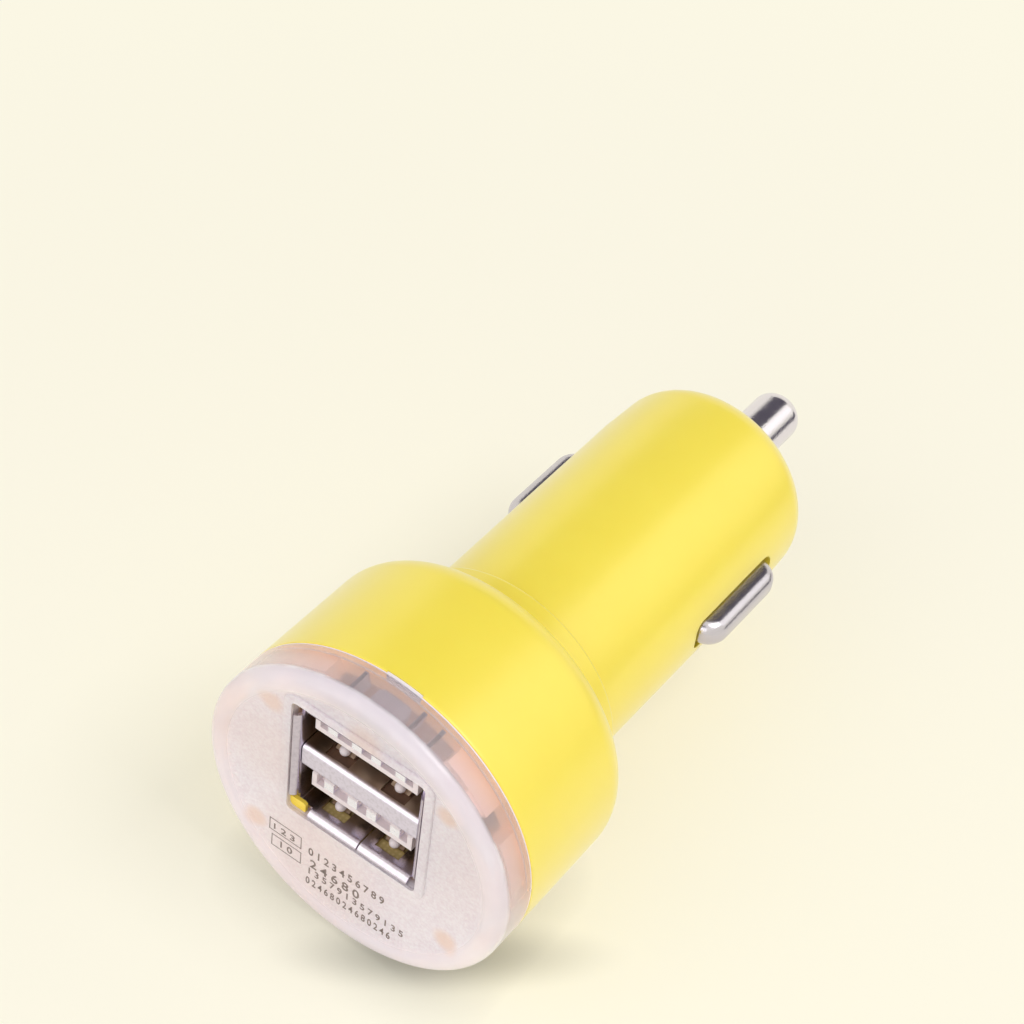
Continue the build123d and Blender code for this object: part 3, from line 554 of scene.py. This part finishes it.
bpy.ops.mesh.normals_make_consistent(inside=False)
bpy.ops.object.mode_set(mode="OBJECT")
ink, tree = new_finish("warm_grey_ink")
place = add_node(tree, "ShaderNodeTexCoord").outputs["Object"]
patchy = add_node(tree, "ShaderNodeTexNoise", {"Vector": place, "Scale": 1 / (0.5 * MM), "Detail": 3.0})
tone = add_node(tree, "ShaderNodeMix", {
    0: patchy.outputs["Fac"], "A": srgb("6A5C58"), "B": srgb("8F817C"),
}, data_type="RGBA")
shader = add_node(tree, "ShaderNodeBsdfPrincipled", {"Base Color": tone.outputs["Result"], "Roughness": 0.6})
add_node(tree, "ShaderNodeOutputMaterial", {"Surface": shader.outputs["BSDF"]})
paint(marking, ink)
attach(marking, "housing")


# USB shell and divider. Tin-plated steel sheet, 0.3 mm, folded into a box with flared lips and a
# channel across its middle. The lips are burnished, the channel's front is pale and satin with
# small dull spots (0.35 mm), and the inside is painted a darker brown as shade. The chip's leads are tinned
# too.
for name, shade_inside, dull, bright, start, low, high in (
    ("usb_shell", "B09C88", "C0B8C8", "CAC2D2", -19.8, 0.2, 0.26),
    ("usb_divider", "BCA692", "CFC9DC", "DCD6EA", -20.4, 0.28, 0.36),
):
    tin, tree = new_finish("tin_plate_" + name)
    place = add_node(tree, "ShaderNodeTexCoord").outputs["Object"]
    along = add_node(tree, "ShaderNodeSeparateXYZ", {"Vector": place})
    # Painted shade: deeper inside the shell and the channel, the colour turns to a darker brown.
    mouth = add_node(tree, "ShaderNodeMapRange", {
        "Value": along.outputs["Y"], "From Min": start * MM, "From Max": -20.8 * MM,
    })
    spots = add_node(tree, "ShaderNodeTexNoise", {"Vector": place, "Scale": 1 / (0.35 * MM), "Detail": 3.0})
    patch = add_node(tree, "ShaderNodeMapRange", {
        "Value": spots.outputs["Fac"], "From Min": 0.35, "From Max": 0.55,
    })
    burnish = add_node(tree, "ShaderNodeMix", {
        0: patch.outputs["Result"], "A": srgb(dull), "B": srgb(bright),
    }, data_type="RGBA")
    tone = add_node(tree, "ShaderNodeMix", {
        0: mouth.outputs["Result"], "A": srgb(shade_inside), "B": burnish.outputs["Result"],
    }, data_type="RGBA")
    polish = add_node(tree, "ShaderNodeMapRange", {
        "Value": spots.outputs["Fac"], "From Min": 0.3, "From Max": 0.7, "To Min": low, "To Max": high,
    })
    shader = add_node(tree, "ShaderNodeBsdfPrincipled", {
        "Base Color": tone.outputs["Result"], "Metallic": 1.0, "Roughness": polish.outputs["Result"],
    })
    add_node(tree, "ShaderNodeOutputMaterial", {"Surface": shader.outputs["BSDF"]})
    paint(nodes[name], tin)
# The chip's leads take the divider's finish, and with it the painted brown shade.
paint(nodes["chip_leads"], tin)


# Divider liner. A stamped strip of brown phenolic board with rounded corners, which lies against
# the upper wall inside the divider's channel and shows through the two windows in that wall.
# Pressed paper and resin: dark brown and satin, with a fibrous mottle (0.5 mm).

def upright(a, b):
    """True on the upright corners of a thin strip that lies flat."""
    return abs(a.z - b.z) > 0.1


liner = block("divider_liner", (0, -16.8, 4.6), (10.4, 7.2, 0.2))
bevel_edges(liner, upright, 0.5, 5)
phenolic, tree = new_finish("brown_phenolic")
place = add_node(tree, "ShaderNodeTexCoord").outputs["Object"]
fibre = add_node(tree, "ShaderNodeTexNoise", {"Vector": place, "Scale": 1 / (0.5 * MM), "Detail": 4.0})
tone = add_node(tree, "ShaderNodeMix", {
    0: fibre.outputs["Fac"], "A": srgb("553C2E"), "B": srgb("785845"),
}, data_type="RGBA")
shader = add_node(tree, "ShaderNodeBsdfPrincipled", {"Base Color": tone.outputs["Result"], "Roughness": 0.5})
add_node(tree, "ShaderNodeOutputMaterial", {"Surface": shader.outputs["BSDF"]})
paint(liner, phenolic)
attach(liner, "housing")


# USB insulator. White glass-filled nylon moulding with a contact blade in each port.
# It is slightly see-through at its thin edges, and has a dull skin with faint flow marks (1.2 mm).
nylon, tree = new_finish("white_glass_filled_nylon")
place = add_node(tree, "ShaderNodeTexCoord").outputs["Object"]
flow = add_node(tree, "ShaderNodeTexNoise", {"Vector": place, "Scale": 1 / (1.2 * MM), "Detail": 4.0})
white = add_node(tree, "ShaderNodeMix", {
    0: flow.outputs["Fac"], "A": srgb("DDD0D3"), "B": srgb("EAE0E2"),
}, data_type="RGBA")
relief = add_node(tree, "ShaderNodeBump", {
    "Height": flow.outputs["Fac"], "Strength": 0.1, "Distance": 0.05 * MM,
})
shader = add_node(tree, "ShaderNodeBsdfPrincipled", {
    "Base Color": white.outputs["Result"], "Roughness": 0.45, "Normal": relief.outputs["Normal"], "IOR": 1.5,
    "Subsurface Weight": 0.2, "Subsurface Radius": (0.6 * MM, 0.5 * MM, 0.45 * MM), "Subsurface Scale": 1.0,
})
add_node(tree, "ShaderNodeOutputMaterial", {"Surface": shader.outputs["BSDF"]})
paint(nodes["usb_insulator"], nylon)


# USB terminals and the pin's spring plate. Phosphor bronze strip, stamped and bent, tin-plated
# where it shows in the ports and bare where it is soldered. Rubbed bright in patches (0.4 mm).
bronze, tree = new_finish("plated_phosphor_bronze")
place = add_node(tree, "ShaderNodeTexCoord").outputs["Object"]
along = add_node(tree, "ShaderNodeSeparateXYZ", {"Vector": place})
plated = add_node(tree, "ShaderNodeMapRange", {
    "Value": along.outputs["Y"], "From Min": -9.0 * MM, "From Max": -11.0 * MM,
})
rub = add_node(tree, "ShaderNodeTexNoise", {"Vector": place, "Scale": 1 / (0.4 * MM), "Detail": 3.0})
tone = add_node(tree, "ShaderNodeMix", {
    0: plated.outputs["Result"], "A": srgb("C9A25A"), "B": srgb("F1F1FF"),
}, data_type="RGBA")
polish = add_node(tree, "ShaderNodeMapRange", {"Value": rub.outputs["Fac"], "To Min": 0.18, "To Max": 0.34})
shader = add_node(tree, "ShaderNodeBsdfPrincipled", {
    "Base Color": tone.outputs["Result"], "Metallic": 1.0, "Roughness": polish.outputs["Result"],
})
add_node(tree, "ShaderNodeOutputMaterial", {"Surface": shader.outputs["BSDF"]})
for name in ("usb_upper_terminals", "usb_lower_terminals", "spring_plate"):
    paint(nodes[name], bronze)


# Finger nubs. A white nylon nub on the tip of each grip finger, which shows below the edge of the
# blade. Four small balls in one mesh, sunk into the fingers' tips.
nub_radius, nub_x, nub_y, upper_nub_z, lower_nub_z = 0.5, 2.9, -19.3, 5.3, -2.2
balls = []
for z in (upper_nub_z, lower_nub_z):
    for x in (-nub_x, nub_x):
        bpy.ops.object.select_all(action="DESELECT")
        bpy.ops.mesh.primitive_uv_sphere_add(
            segments=24, ring_count=12, radius=nub_radius * MM, location=(x * MM, nub_y * MM, z * MM),
        )
        bpy.ops.object.transform_apply(location=True, rotation=True, scale=True)
        balls.append(bpy.context.object)
for ball in balls:
    ball.select_set(True)
bpy.ops.object.join()
nubs = bpy.context.object
nubs.name = "finger_nubs"
smooth(nubs, 40)
paint(nubs, nylon)
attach(nubs, "housing")


# Circuit board. Glass-fibre laminate with a clear yellowish mask, its yarns 0.44 mm apart. A thin
# tongue of it, under the front of the shell, shows through the windows in the lower port's floor.
laminate, tree = new_finish("glass_fibre_laminate")
place = add_node(tree, "ShaderNodeTexCoord").outputs["Object"]
yarns = {"Vector": place, "Scale": 1 / (1.4 * MM), "Distortion": 0.4, "Detail": 1.0}
warp = add_node(tree, "ShaderNodeTexWave", yarns, bands_direction="X")
weft = add_node(tree, "ShaderNodeTexWave", yarns, bands_direction="Y")
weave = add_node(tree, "ShaderNodeMath", {
    0: warp.outputs["Fac"], 1: weft.outputs["Fac"],
}, operation="MULTIPLY")
tone = add_node(tree, "ShaderNodeMix", {
    0: weave.outputs["Value"], "A": srgb("B49F66"), "B": srgb("C8B37C"),
}, data_type="RGBA")
shader = add_node(tree, "ShaderNodeBsdfPrincipled", {
    "Base Color": tone.outputs["Result"], "Roughness": 0.4, "IOR": 1.5,
})
add_node(tree, "ShaderNodeOutputMaterial", {"Surface": shader.outputs["BSDF"]})
paint(nodes["circuit_board"], laminate)
tongue = block("board_tongue", (0, -20.0, -2.95), (10.4, 1.5, 0.3))
bevel_edges(tongue, upright, 0.5, 5)
paint(tongue, laminate)
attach(tongue, "housing")


# Capacitors. Drawn aluminium cans in a shrunk dark sleeve, lying on the board behind the ports.
# The sleeve is half gloss, and the can's end is bare bright metal.
can, tree = new_finish("sleeved_aluminium_can")
place = add_node(tree, "ShaderNodeTexCoord").outputs["Object"]
along = add_node(tree, "ShaderNodeSeparateXYZ", {"Vector": place})
bare = add_node(tree, "ShaderNodeMapRange", {
    "Value": along.outputs["Y"], "From Min": 6.7 * MM, "From Max": 6.8 * MM,
})
skin = add_node(tree, "ShaderNodeTexNoise", {"Vector": place, "Scale": 1 / (0.8 * MM), "Detail": 3.0})
tone = add_node(tree, "ShaderNodeMix", {
    0: bare.outputs["Result"], "A": srgb("2B3038"), "B": srgb("C8CACC"),
}, data_type="RGBA")
polish = add_node(tree, "ShaderNodeMapRange", {"Value": skin.outputs["Fac"], "To Min": 0.25, "To Max": 0.45})
shader = add_node(tree, "ShaderNodeBsdfPrincipled", {
    "Base Color": tone.outputs["Result"], "Metallic": bare.outputs["Result"],
    "Roughness": polish.outputs["Result"],
})
add_node(tree, "ShaderNodeOutputMaterial", {"Surface": shader.outputs["BSDF"]})
for name in ("input_capacitor", "output_capacitor"):
    paint(nodes[name], can)


# Inductor. A ferrite bobbin wound with lacquered copper wire, soldered to the board.
# Pressed and fired ferrite powder: dull grey black with a fine tooth (0.2 mm).
ferrite, tree = new_finish("pressed_ferrite")
place = add_node(tree, "ShaderNodeTexCoord").outputs["Object"]
powder = add_node(tree, "ShaderNodeTexNoise", {"Vector": place, "Scale": 1 / (0.2 * MM), "Detail": 4.0})
tone = add_node(tree, "ShaderNodeMix", {
    0: powder.outputs["Fac"], "A": srgb("26262A"), "B": srgb("47474C"),
}, data_type="RGBA")
relief = add_node(tree, "ShaderNodeBump", {
    "Height": powder.outputs["Fac"], "Strength": 0.2, "Distance": 0.05 * MM,
})
shader = add_node(tree, "ShaderNodeBsdfPrincipled", {
    "Base Color": tone.outputs["Result"], "Roughness": 0.7, "Normal": relief.outputs["Normal"],
})
add_node(tree, "ShaderNodeOutputMaterial", {"Surface": shader.outputs["BSDF"]})
paint(nodes["inductor_core"], ferrite)

# Lacquered copper wire: glossy red brown, with the turns as bands 0.5 mm apart.
copper, tree = new_finish("lacquered_copper_wire")
place = add_node(tree, "ShaderNodeTexCoord").outputs["Object"]
turns = add_node(tree, "ShaderNodeTexWave", {
    "Vector": place, "Scale": 1 / (1.6 * MM), "Distortion": 0.2,
}, bands_direction="Z")
tone = add_node(tree, "ShaderNodeMix", {
    0: turns.outputs["Fac"], "A": srgb("8A4A22"), "B": srgb("C9803F"),
}, data_type="RGBA")
shader = add_node(tree, "ShaderNodeBsdfPrincipled", {
    "Base Color": tone.outputs["Result"], "Metallic": 1.0, "Roughness": 0.3,
})
add_node(tree, "ShaderNodeOutputMaterial", {"Surface": shader.outputs["BSDF"]})
paint(nodes["inductor_winding"], copper)


# Chip, diode and resistors. Small black pieces soldered to the board.
# Moulded epoxy: nearly black and matt, with the filler's grain (0.12 mm) in it.
epoxy, tree = new_finish("black_moulded_epoxy")
place = add_node(tree, "ShaderNodeTexCoord").outputs["Object"]
filler = add_node(tree, "ShaderNodeTexNoise", {"Vector": place, "Scale": 1 / (0.12 * MM), "Detail": 3.0})
tone = add_node(tree, "ShaderNodeMix", {
    0: filler.outputs["Fac"], "A": srgb("19191B"), "B": srgb("2C2C2E"),
}, data_type="RGBA")
relief = add_node(tree, "ShaderNodeBump", {
    "Height": filler.outputs["Fac"], "Strength": 0.15, "Distance": 0.03 * MM,
})
shader = add_node(tree, "ShaderNodeBsdfPrincipled", {
    "Base Color": tone.outputs["Result"], "Roughness": 0.6, "Normal": relief.outputs["Normal"],
})
add_node(tree, "ShaderNodeOutputMaterial", {"Surface": shader.outputs["BSDF"]})
for name in ("converter_chip", "rectifier_diode", "chip_resistors"):
    paint(nodes[name], epoxy)


# Ceramic capacitors and the indicator light. Small pieces soldered to the board.
# Fired ceramic: tan and satin, finely flecked (0.15 mm).
ceramic, tree = new_finish("fired_tan_ceramic")
place = add_node(tree, "ShaderNodeTexCoord").outputs["Object"]
fleck = add_node(tree, "ShaderNodeTexNoise", {"Vector": place, "Scale": 1 / (0.15 * MM), "Detail": 3.0})
tone = add_node(tree, "ShaderNodeMix", {
    0: fleck.outputs["Fac"], "A": srgb("A98A66"), "B": srgb("C7AA86"),
}, data_type="RGBA")
shader = add_node(tree, "ShaderNodeBsdfPrincipled", {"Base Color": tone.outputs["Result"], "Roughness": 0.5})
add_node(tree, "ShaderNodeOutputMaterial", {"Surface": shader.outputs["BSDF"]})
paint(nodes["ceramic_capacitors"], ceramic)

# Cast resin over a pale die: milky, glossy and soft inside.
resin, tree = new_finish("cast_led_resin")
place = add_node(tree, "ShaderNodeTexCoord").outputs["Object"]
haze = add_node(tree, "ShaderNodeTexNoise", {"Vector": place, "Scale": 1 / (0.5 * MM), "Detail": 2.0})
tone = add_node(tree, "ShaderNodeMix", {
    0: haze.outputs["Fac"], "A": srgb("E8E6D8"), "B": srgb("F4F3EA"),
}, data_type="RGBA")
shader = add_node(tree, "ShaderNodeBsdfPrincipled", {
    "Base Color": tone.outputs["Result"], "Roughness": 0.2, "IOR": 1.5, "Subsurface Weight": 0.3,
    "Subsurface Radius": (0.4 * MM, 0.4 * MM, 0.4 * MM), "Subsurface Scale": 1.0,
})
add_node(tree, "ShaderNodeOutputMaterial", {"Surface": shader.outputs["BSDF"]})
paint(nodes["indicator_led"], resin)


# Centre pin. Turned brass rod, nickel-plated and bright, with a domed tip and a flange inside the
# nose that stops it. The coil spring behind it pushes it out.
stem_radius, flange_radius, pin_radius = 1.5, 3.7, 2.5
stem_y, flange_y, pin_tip_y = 27.7, 30.3, 45.5
pin = turn_rings("nickel_pin", [
    (0.6, stem_y), (stem_radius, stem_y), (stem_radius, flange_y), (flange_radius, flange_y),
    (flange_radius, nose_seat_y), (pin_radius, nose_seat_y), (pin_radius, pin_tip_y), (0.7, pin_tip_y),
], 96, ends=True)
round_rings(pin, ((pin_radius, pin_tip_y, 1.7, 12),))
smooth(pin, 40)

# Nickel plate: a bright mirror with wiped streaks (1.5 mm) and fine pits. The turned pin is paler
# and brighter than the pressed contacts. The pits are drawn at 0.16 mm, coarse enough to show.
nickel, tree = new_finish("bright_nickel_plate")
place = add_node(tree, "ShaderNodeTexCoord").outputs["Object"]
pits = add_node(tree, "ShaderNodeTexNoise", {"Vector": place, "Scale": 1 / (0.16 * MM), "Detail": 2.0})
wipe = add_node(tree, "ShaderNodeTexNoise", {"Vector": place, "Scale": 1 / (1.5 * MM), "Detail": 4.0})
along = add_node(tree, "ShaderNodeSeparateXYZ", {"Vector": place})
turned = add_node(tree, "ShaderNodeMapRange", {
    "Value": along.outputs["Y"], "From Min": 27.0 * MM, "From Max": 30.0 * MM,
})
pressed = add_node(tree, "ShaderNodeMix", {
    0: wipe.outputs["Fac"], "A": srgb("C6C2D0"), "B": srgb("D6D2E0"),
}, data_type="RGBA")
tone = add_node(tree, "ShaderNodeMix", {
    0: turned.outputs["Result"], "A": pressed.outputs["Result"], "B": srgb("E6E2F0"),
}, data_type="RGBA")
buffed = add_node(tree, "ShaderNodeMapRange", {
    "Value": turned.outputs["Result"], "To Min": 0.17, "To Max": 0.1,
})
polish = add_node(tree, "ShaderNodeMath", {
    0: wipe.outputs["Fac"], 1: 0.13, 2: buffed.outputs["Result"],
}, operation="MULTIPLY_ADD")
relief = add_node(tree, "ShaderNodeBump", {
    "Height": pits.outputs["Fac"], "Strength": 0.6, "Distance": 0.025 * MM,
})
shader = add_node(tree, "ShaderNodeBsdfPrincipled", {
    "Base Color": tone.outputs["Result"], "Metallic": 1.0, "Roughness": polish.outputs["Value"],
    "Normal": relief.outputs["Normal"],
})
add_node(tree, "ShaderNodeOutputMaterial", {"Surface": shader.outputs["BSDF"]})
paint(pin, nickel)
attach(pin, "pin")
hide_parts("center_pin")


# Ground contacts. A hollow shoe pressed from nickel-plated strip stands out of a slot on each side
# of the barrel, with its ends and edges rounded. A leaf spring behind it pushes it out.
shoe_middle, shoe_depth, shoe_length, shoe_width = 10.018, 4.163, 11.4, 2.8
end_round, edge_round, shoe_wall, shoe_hollow = 2.2, 1.15, 0.45, 3.0
for side, name in ((1, "right"), (-1, "left")):
    def end_edge(a, b):
        """True on the two edges across the ends of the outer face."""
        return abs(a.z - b.z) > 1 and side * a.x > 11

    def side_edge(a, b):
        """True round the outline of both flat sides, apart from the inner edge."""
        on_side = abs(abs(a.z) - shoe_width / 2) < 0.001 and abs(a.z - b.z) < 0.001
        return on_side and max(side * a.x, side * b.x) > 8.2

    middle = (side * shoe_middle, contact_y, 0)
    shoe = block(name + "_nickel_shoe", middle, (shoe_depth, shoe_length, shoe_width))
    bevel_edges(shoe, end_edge, end_round, 12)
    bevel_edges(shoe, side_edge, edge_round, 10)
    bpy.ops.object.mode_set(mode="EDIT")
    bpy.ops.mesh.select_mode(type="FACE")
    bpy.ops.mesh.select_all(action="DESELECT")
    mesh = bmesh.from_edit_mesh(shoe.data)
    for face in mesh.faces:
        face.select_set(face.normal.x * side < -0.9)
    bmesh.update_edit_mesh(shoe.data)
    bpy.ops.mesh.inset(thickness=shoe_wall * MM)
    bpy.ops.mesh.extrude_region_move(TRANSFORM_OT_translate={"value": (side * shoe_hollow * MM, 0, 0)})
    bpy.ops.object.mode_set(mode="OBJECT")
    smooth(shoe, 35)
    paint(shoe, nickel)
    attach(shoe, name + "_contact")
    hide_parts(name + "_ground_contact")


# Springs. A coil of drawn spring wire behind the pin, and a bowed spring strip behind each contact.
# Each keeps the form of its node.
# Bright spring steel, satin, with a fine drawn grain (0.2 mm).
spring, tree = new_finish("bright_spring_steel")
place = add_node(tree, "ShaderNodeTexCoord").outputs["Object"]
drawn = add_node(tree, "ShaderNodeTexNoise", {"Vector": place, "Scale": 1 / (0.2 * MM), "Detail": 3.0})
tone = add_node(tree, "ShaderNodeMix", {
    0: drawn.outputs["Fac"], "A": srgb("9A9A9C"), "B": srgb("BDBDBF"),
}, data_type="RGBA")
polish = add_node(tree, "ShaderNodeMapRange", {"Value": drawn.outputs["Fac"], "To Min": 0.22, "To Max": 0.4})
shader = add_node(tree, "ShaderNodeBsdfPrincipled", {
    "Base Color": tone.outputs["Result"], "Metallic": 1.0, "Roughness": polish.outputs["Result"],
})
add_node(tree, "ShaderNodeOutputMaterial", {"Surface": shader.outputs["BSDF"]})
for node, name, joint, axis, seat, keep in (
    ("pin_spring", "pin_coil", "pin_press", (0, 1, 0), (0, 22.63 * MM, 0), 0.474),
    ("right_contact_spring", "right_leaf", "right_contact_press", (1, 0, 0), (5.047 * MM, 0, 0), 0.385),
    ("left_contact_spring", "left_leaf", "left_contact_press", (-1, 0, 0), (-5.047 * MM, 0, 0), 0.385),
):
    wire = bpy.data.objects.new(name, nodes[node].data.copy())
    bpy.context.scene.collection.objects.link(wire)
    smooth(wire)
    paint(wire, spring)
    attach(wire, "housing")
    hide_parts(node)
    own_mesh(wire)


# Floor. A plain cream sheet that the head rests on. The camera, gloss and clear plastic see its
# flat colour, more so further out, with part of the real shading kept for the plug's soft shadow.
# Contact shade, and an oval pool of shade under the head, deepen that shadow.
cream_paper = "FCF8E5"
pool_x, pool_y, pool_half_length, pool_half_width = 8.2, -17.6, 17, 4.4
pool_cos, pool_sin = 0.762, 0.647
bpy.ops.object.select_all(action="DESELECT")
bpy.ops.mesh.primitive_plane_add(size=6, location=(0, 0, -head_radius * MM))
floor = bpy.context.object
floor.name = "cream_floor"


def plainly_seen(tree):
    """Output that is 1 where the camera, gloss or clear plastic looks, and 0 where light is gathered."""
    rays = add_node(tree, "ShaderNodeLightPath")
    seen = 0.0
    for ray in ("Is Camera Ray", "Is Glossy Ray", "Is Transmission Ray"):
        either = add_node(tree, "ShaderNodeMath", {
            0: seen, 1: rays.outputs[ray],
        }, operation="ADD", use_clamp=True)
        seen = either.outputs["Value"]
    return seen


sheet, tree = new_finish("cream_paper")
place = add_node(tree, "ShaderNodeTexCoord").outputs["Object"]
away = add_node(tree, "ShaderNodeVectorMath", {0: place}, operation="LENGTH")
even = add_node(tree, "ShaderNodeMapRange", {
    "Value": away.outputs["Value"], "From Min": 50 * MM, "From Max": 160 * MM, "To Min": 0.5, "To Max": 1.0,
}, interpolation_type="SMOOTHSTEP")
share = add_node(tree, "ShaderNodeMath", {
    0: plainly_seen(tree), 1: even.outputs["Result"],
}, operation="MULTIPLY")
near = add_node(tree, "ShaderNodeAmbientOcclusion", {"Distance": 6 * MM}, samples=3)
contact = add_node(tree, "ShaderNodeMapRange", {
    "Value": near.outputs["AO"], "From Min": 0.5, "From Max": 1.0, "To Min": 0.8, "To Max": 1.0,
})
from_pool = add_node(tree, "ShaderNodeVectorMath", {
    0: place, 1: (pool_x * MM, pool_y * MM, 0),
}, operation="SUBTRACT")
length = add_node(tree, "ShaderNodeVectorMath", {
    0: from_pool.outputs["Vector"],
    1: (pool_cos / (pool_half_length * MM), pool_sin / (pool_half_length * MM), 0),
}, operation="DOT_PRODUCT")
width = add_node(tree, "ShaderNodeVectorMath", {
    0: from_pool.outputs["Vector"],
    1: (pool_sin / (pool_half_width * MM), -pool_cos / (pool_half_width * MM), 0),
}, operation="DOT_PRODUCT")
oval = add_node(tree, "ShaderNodeCombineXYZ", {"X": length.outputs["Value"], "Y": width.outputs["Value"]})
reach = add_node(tree, "ShaderNodeVectorMath", {0: oval.outputs["Vector"]}, operation="LENGTH")
pool = add_node(tree, "ShaderNodeMapRange", {
    "Value": reach.outputs["Value"], "From Min": 1.0, "From Max": 0.1, "To Min": 1.0, "To Max": 0.58,
}, interpolation_type="SMOOTHSTEP")
shade = add_node(tree, "ShaderNodeMath", {
    0: contact.outputs["Result"], 1: pool.outputs["Result"],
}, operation="MULTIPLY")
tone = add_node(tree, "ShaderNodeMix", {
    0: shade.outputs["Value"], "A": srgb("000000"), "B": srgb(cream_paper),
}, data_type="RGBA")
paper = add_node(tree, "ShaderNodeBsdfDiffuse", {"Color": tone.outputs["Result"]})
flat = add_node(tree, "ShaderNodeEmission", {"Color": tone.outputs["Result"], "Strength": 1.0})
mixed = add_node(tree, "ShaderNodeMixShader", {
    0: share.outputs["Value"], 1: paper.outputs["BSDF"], 2: flat.outputs["Emission"],
})
add_node(tree, "ShaderNodeOutputMaterial", {"Surface": mixed.outputs["Shader"]})
paint(floor, sheet)


# Light. A soft, nearly even studio: a pale world and three soft boxes, one behind on the right, one
# high on the right, which gives the bright streaks, and a wide one in front.
# Dark cards, seen only by gloss, give the metal its bands. Places and sizes here are in metres.
world = bpy.data.worlds.new("pale_studio")
bpy.context.scene.world = world
world.use_nodes = True
tree = world.node_tree
tree.nodes.clear()
cream = add_node(tree, "ShaderNodeBackground", {"Color": srgb(cream_paper), "Strength": 1.0})
fill = add_node(tree, "ShaderNodeBackground", {"Color": srgb("FDFBFF"), "Strength": 0.56})
both = add_node(tree, "ShaderNodeMixShader", {
    0: plainly_seen(tree), 1: fill.outputs["Background"], 2: cream.outputs["Background"],
})
add_node(tree, "ShaderNodeOutputWorld", {"Surface": both.outputs["Shader"]})
lamp_target, card_target = Vector((0, 0.005, 0)), Vector((0, 0.03, 0))
for name, place, size, power in (
    ("back_box", (0.34, 0.36, 0.34), 0.38, 0.17),
    ("key_box", (0.30, 0.04, 0.52), 0.26, 1.25),
    ("front_box", (-0.08, -0.54, 0.30), 0.75, 1.95),
):
    bpy.ops.object.light_add(type="AREA", location=place)
    lamp = bpy.context.object
    lamp.name = name
    lamp.data.size = size
    lamp.data.energy = power
    aim = lamp_target - Vector(place)
    lamp.rotation_euler = aim.to_track_quat("-Z", "Y").to_euler()
dark, tree = new_finish("dark_card")
glow = add_node(tree, "ShaderNodeEmission", {"Color": srgb("5A565C"), "Strength": 1.0})
add_node(tree, "ShaderNodeOutputMaterial", {"Surface": glow.outputs["Emission"]})
for name, place, width, height in (
    ("upper_card", (-0.10, 0.33, 0.38), 0.50, 0.42),
    ("low_card", (0.085, 0.105, -0.002), 0.11, 0.026),
    ("camera_card", (0.08, -0.36, 0.46), 0.22, 0.22),
):
    bpy.ops.object.select_all(action="DESELECT")
    bpy.ops.mesh.primitive_plane_add(size=1, location=place)
    card = bpy.context.object
    card.name = name
    aim = card_target - Vector(place)
    card.rotation_euler = aim.to_track_quat("-Z", "Y").to_euler()
    card.scale = (width, height, 1)
    bpy.ops.object.transform_apply(location=True, rotation=True, scale=True)
    card.visible_camera = False
    card.visible_diffuse = False
    card.visible_transmission = False
    card.visible_shadow = False
    paint(card, dark)


# Camera. The photograph's view: from above and to the right of the USB face, with a long lens,
# rolled a little. It is placed by its turn, tilt and roll, and by its place in millimetres.
turn, tilt, roll = math.radians(30.95), math.radians(45.75), math.radians(7.90)
camera_x, camera_y, camera_z = 74.9, -127.9, 172.5
back = Vector((math.sin(turn) * math.cos(tilt), -math.cos(turn) * math.cos(tilt), math.sin(tilt)))
level = Vector((math.cos(turn), math.sin(turn), 0))
rise = back.cross(level)
right = level * math.cos(roll) + rise * math.sin(roll)
up = rise * math.cos(roll) - level * math.sin(roll)
bpy.ops.object.camera_add()
camera = bpy.context.object
camera.matrix_world = Matrix((
    (right.x, up.x, back.x, camera_x * MM),
    (right.y, up.y, back.y, camera_y * MM),
    (right.z, up.z, back.z, camera_z * MM),
    (0, 0, 0, 1),
))
camera.data.sensor_width = 36
camera.data.lens = 90.95
camera.data.clip_start = 0.01
bpy.context.scene.camera = camera
bpy.context.scene.view_settings.view_transform = "Standard"
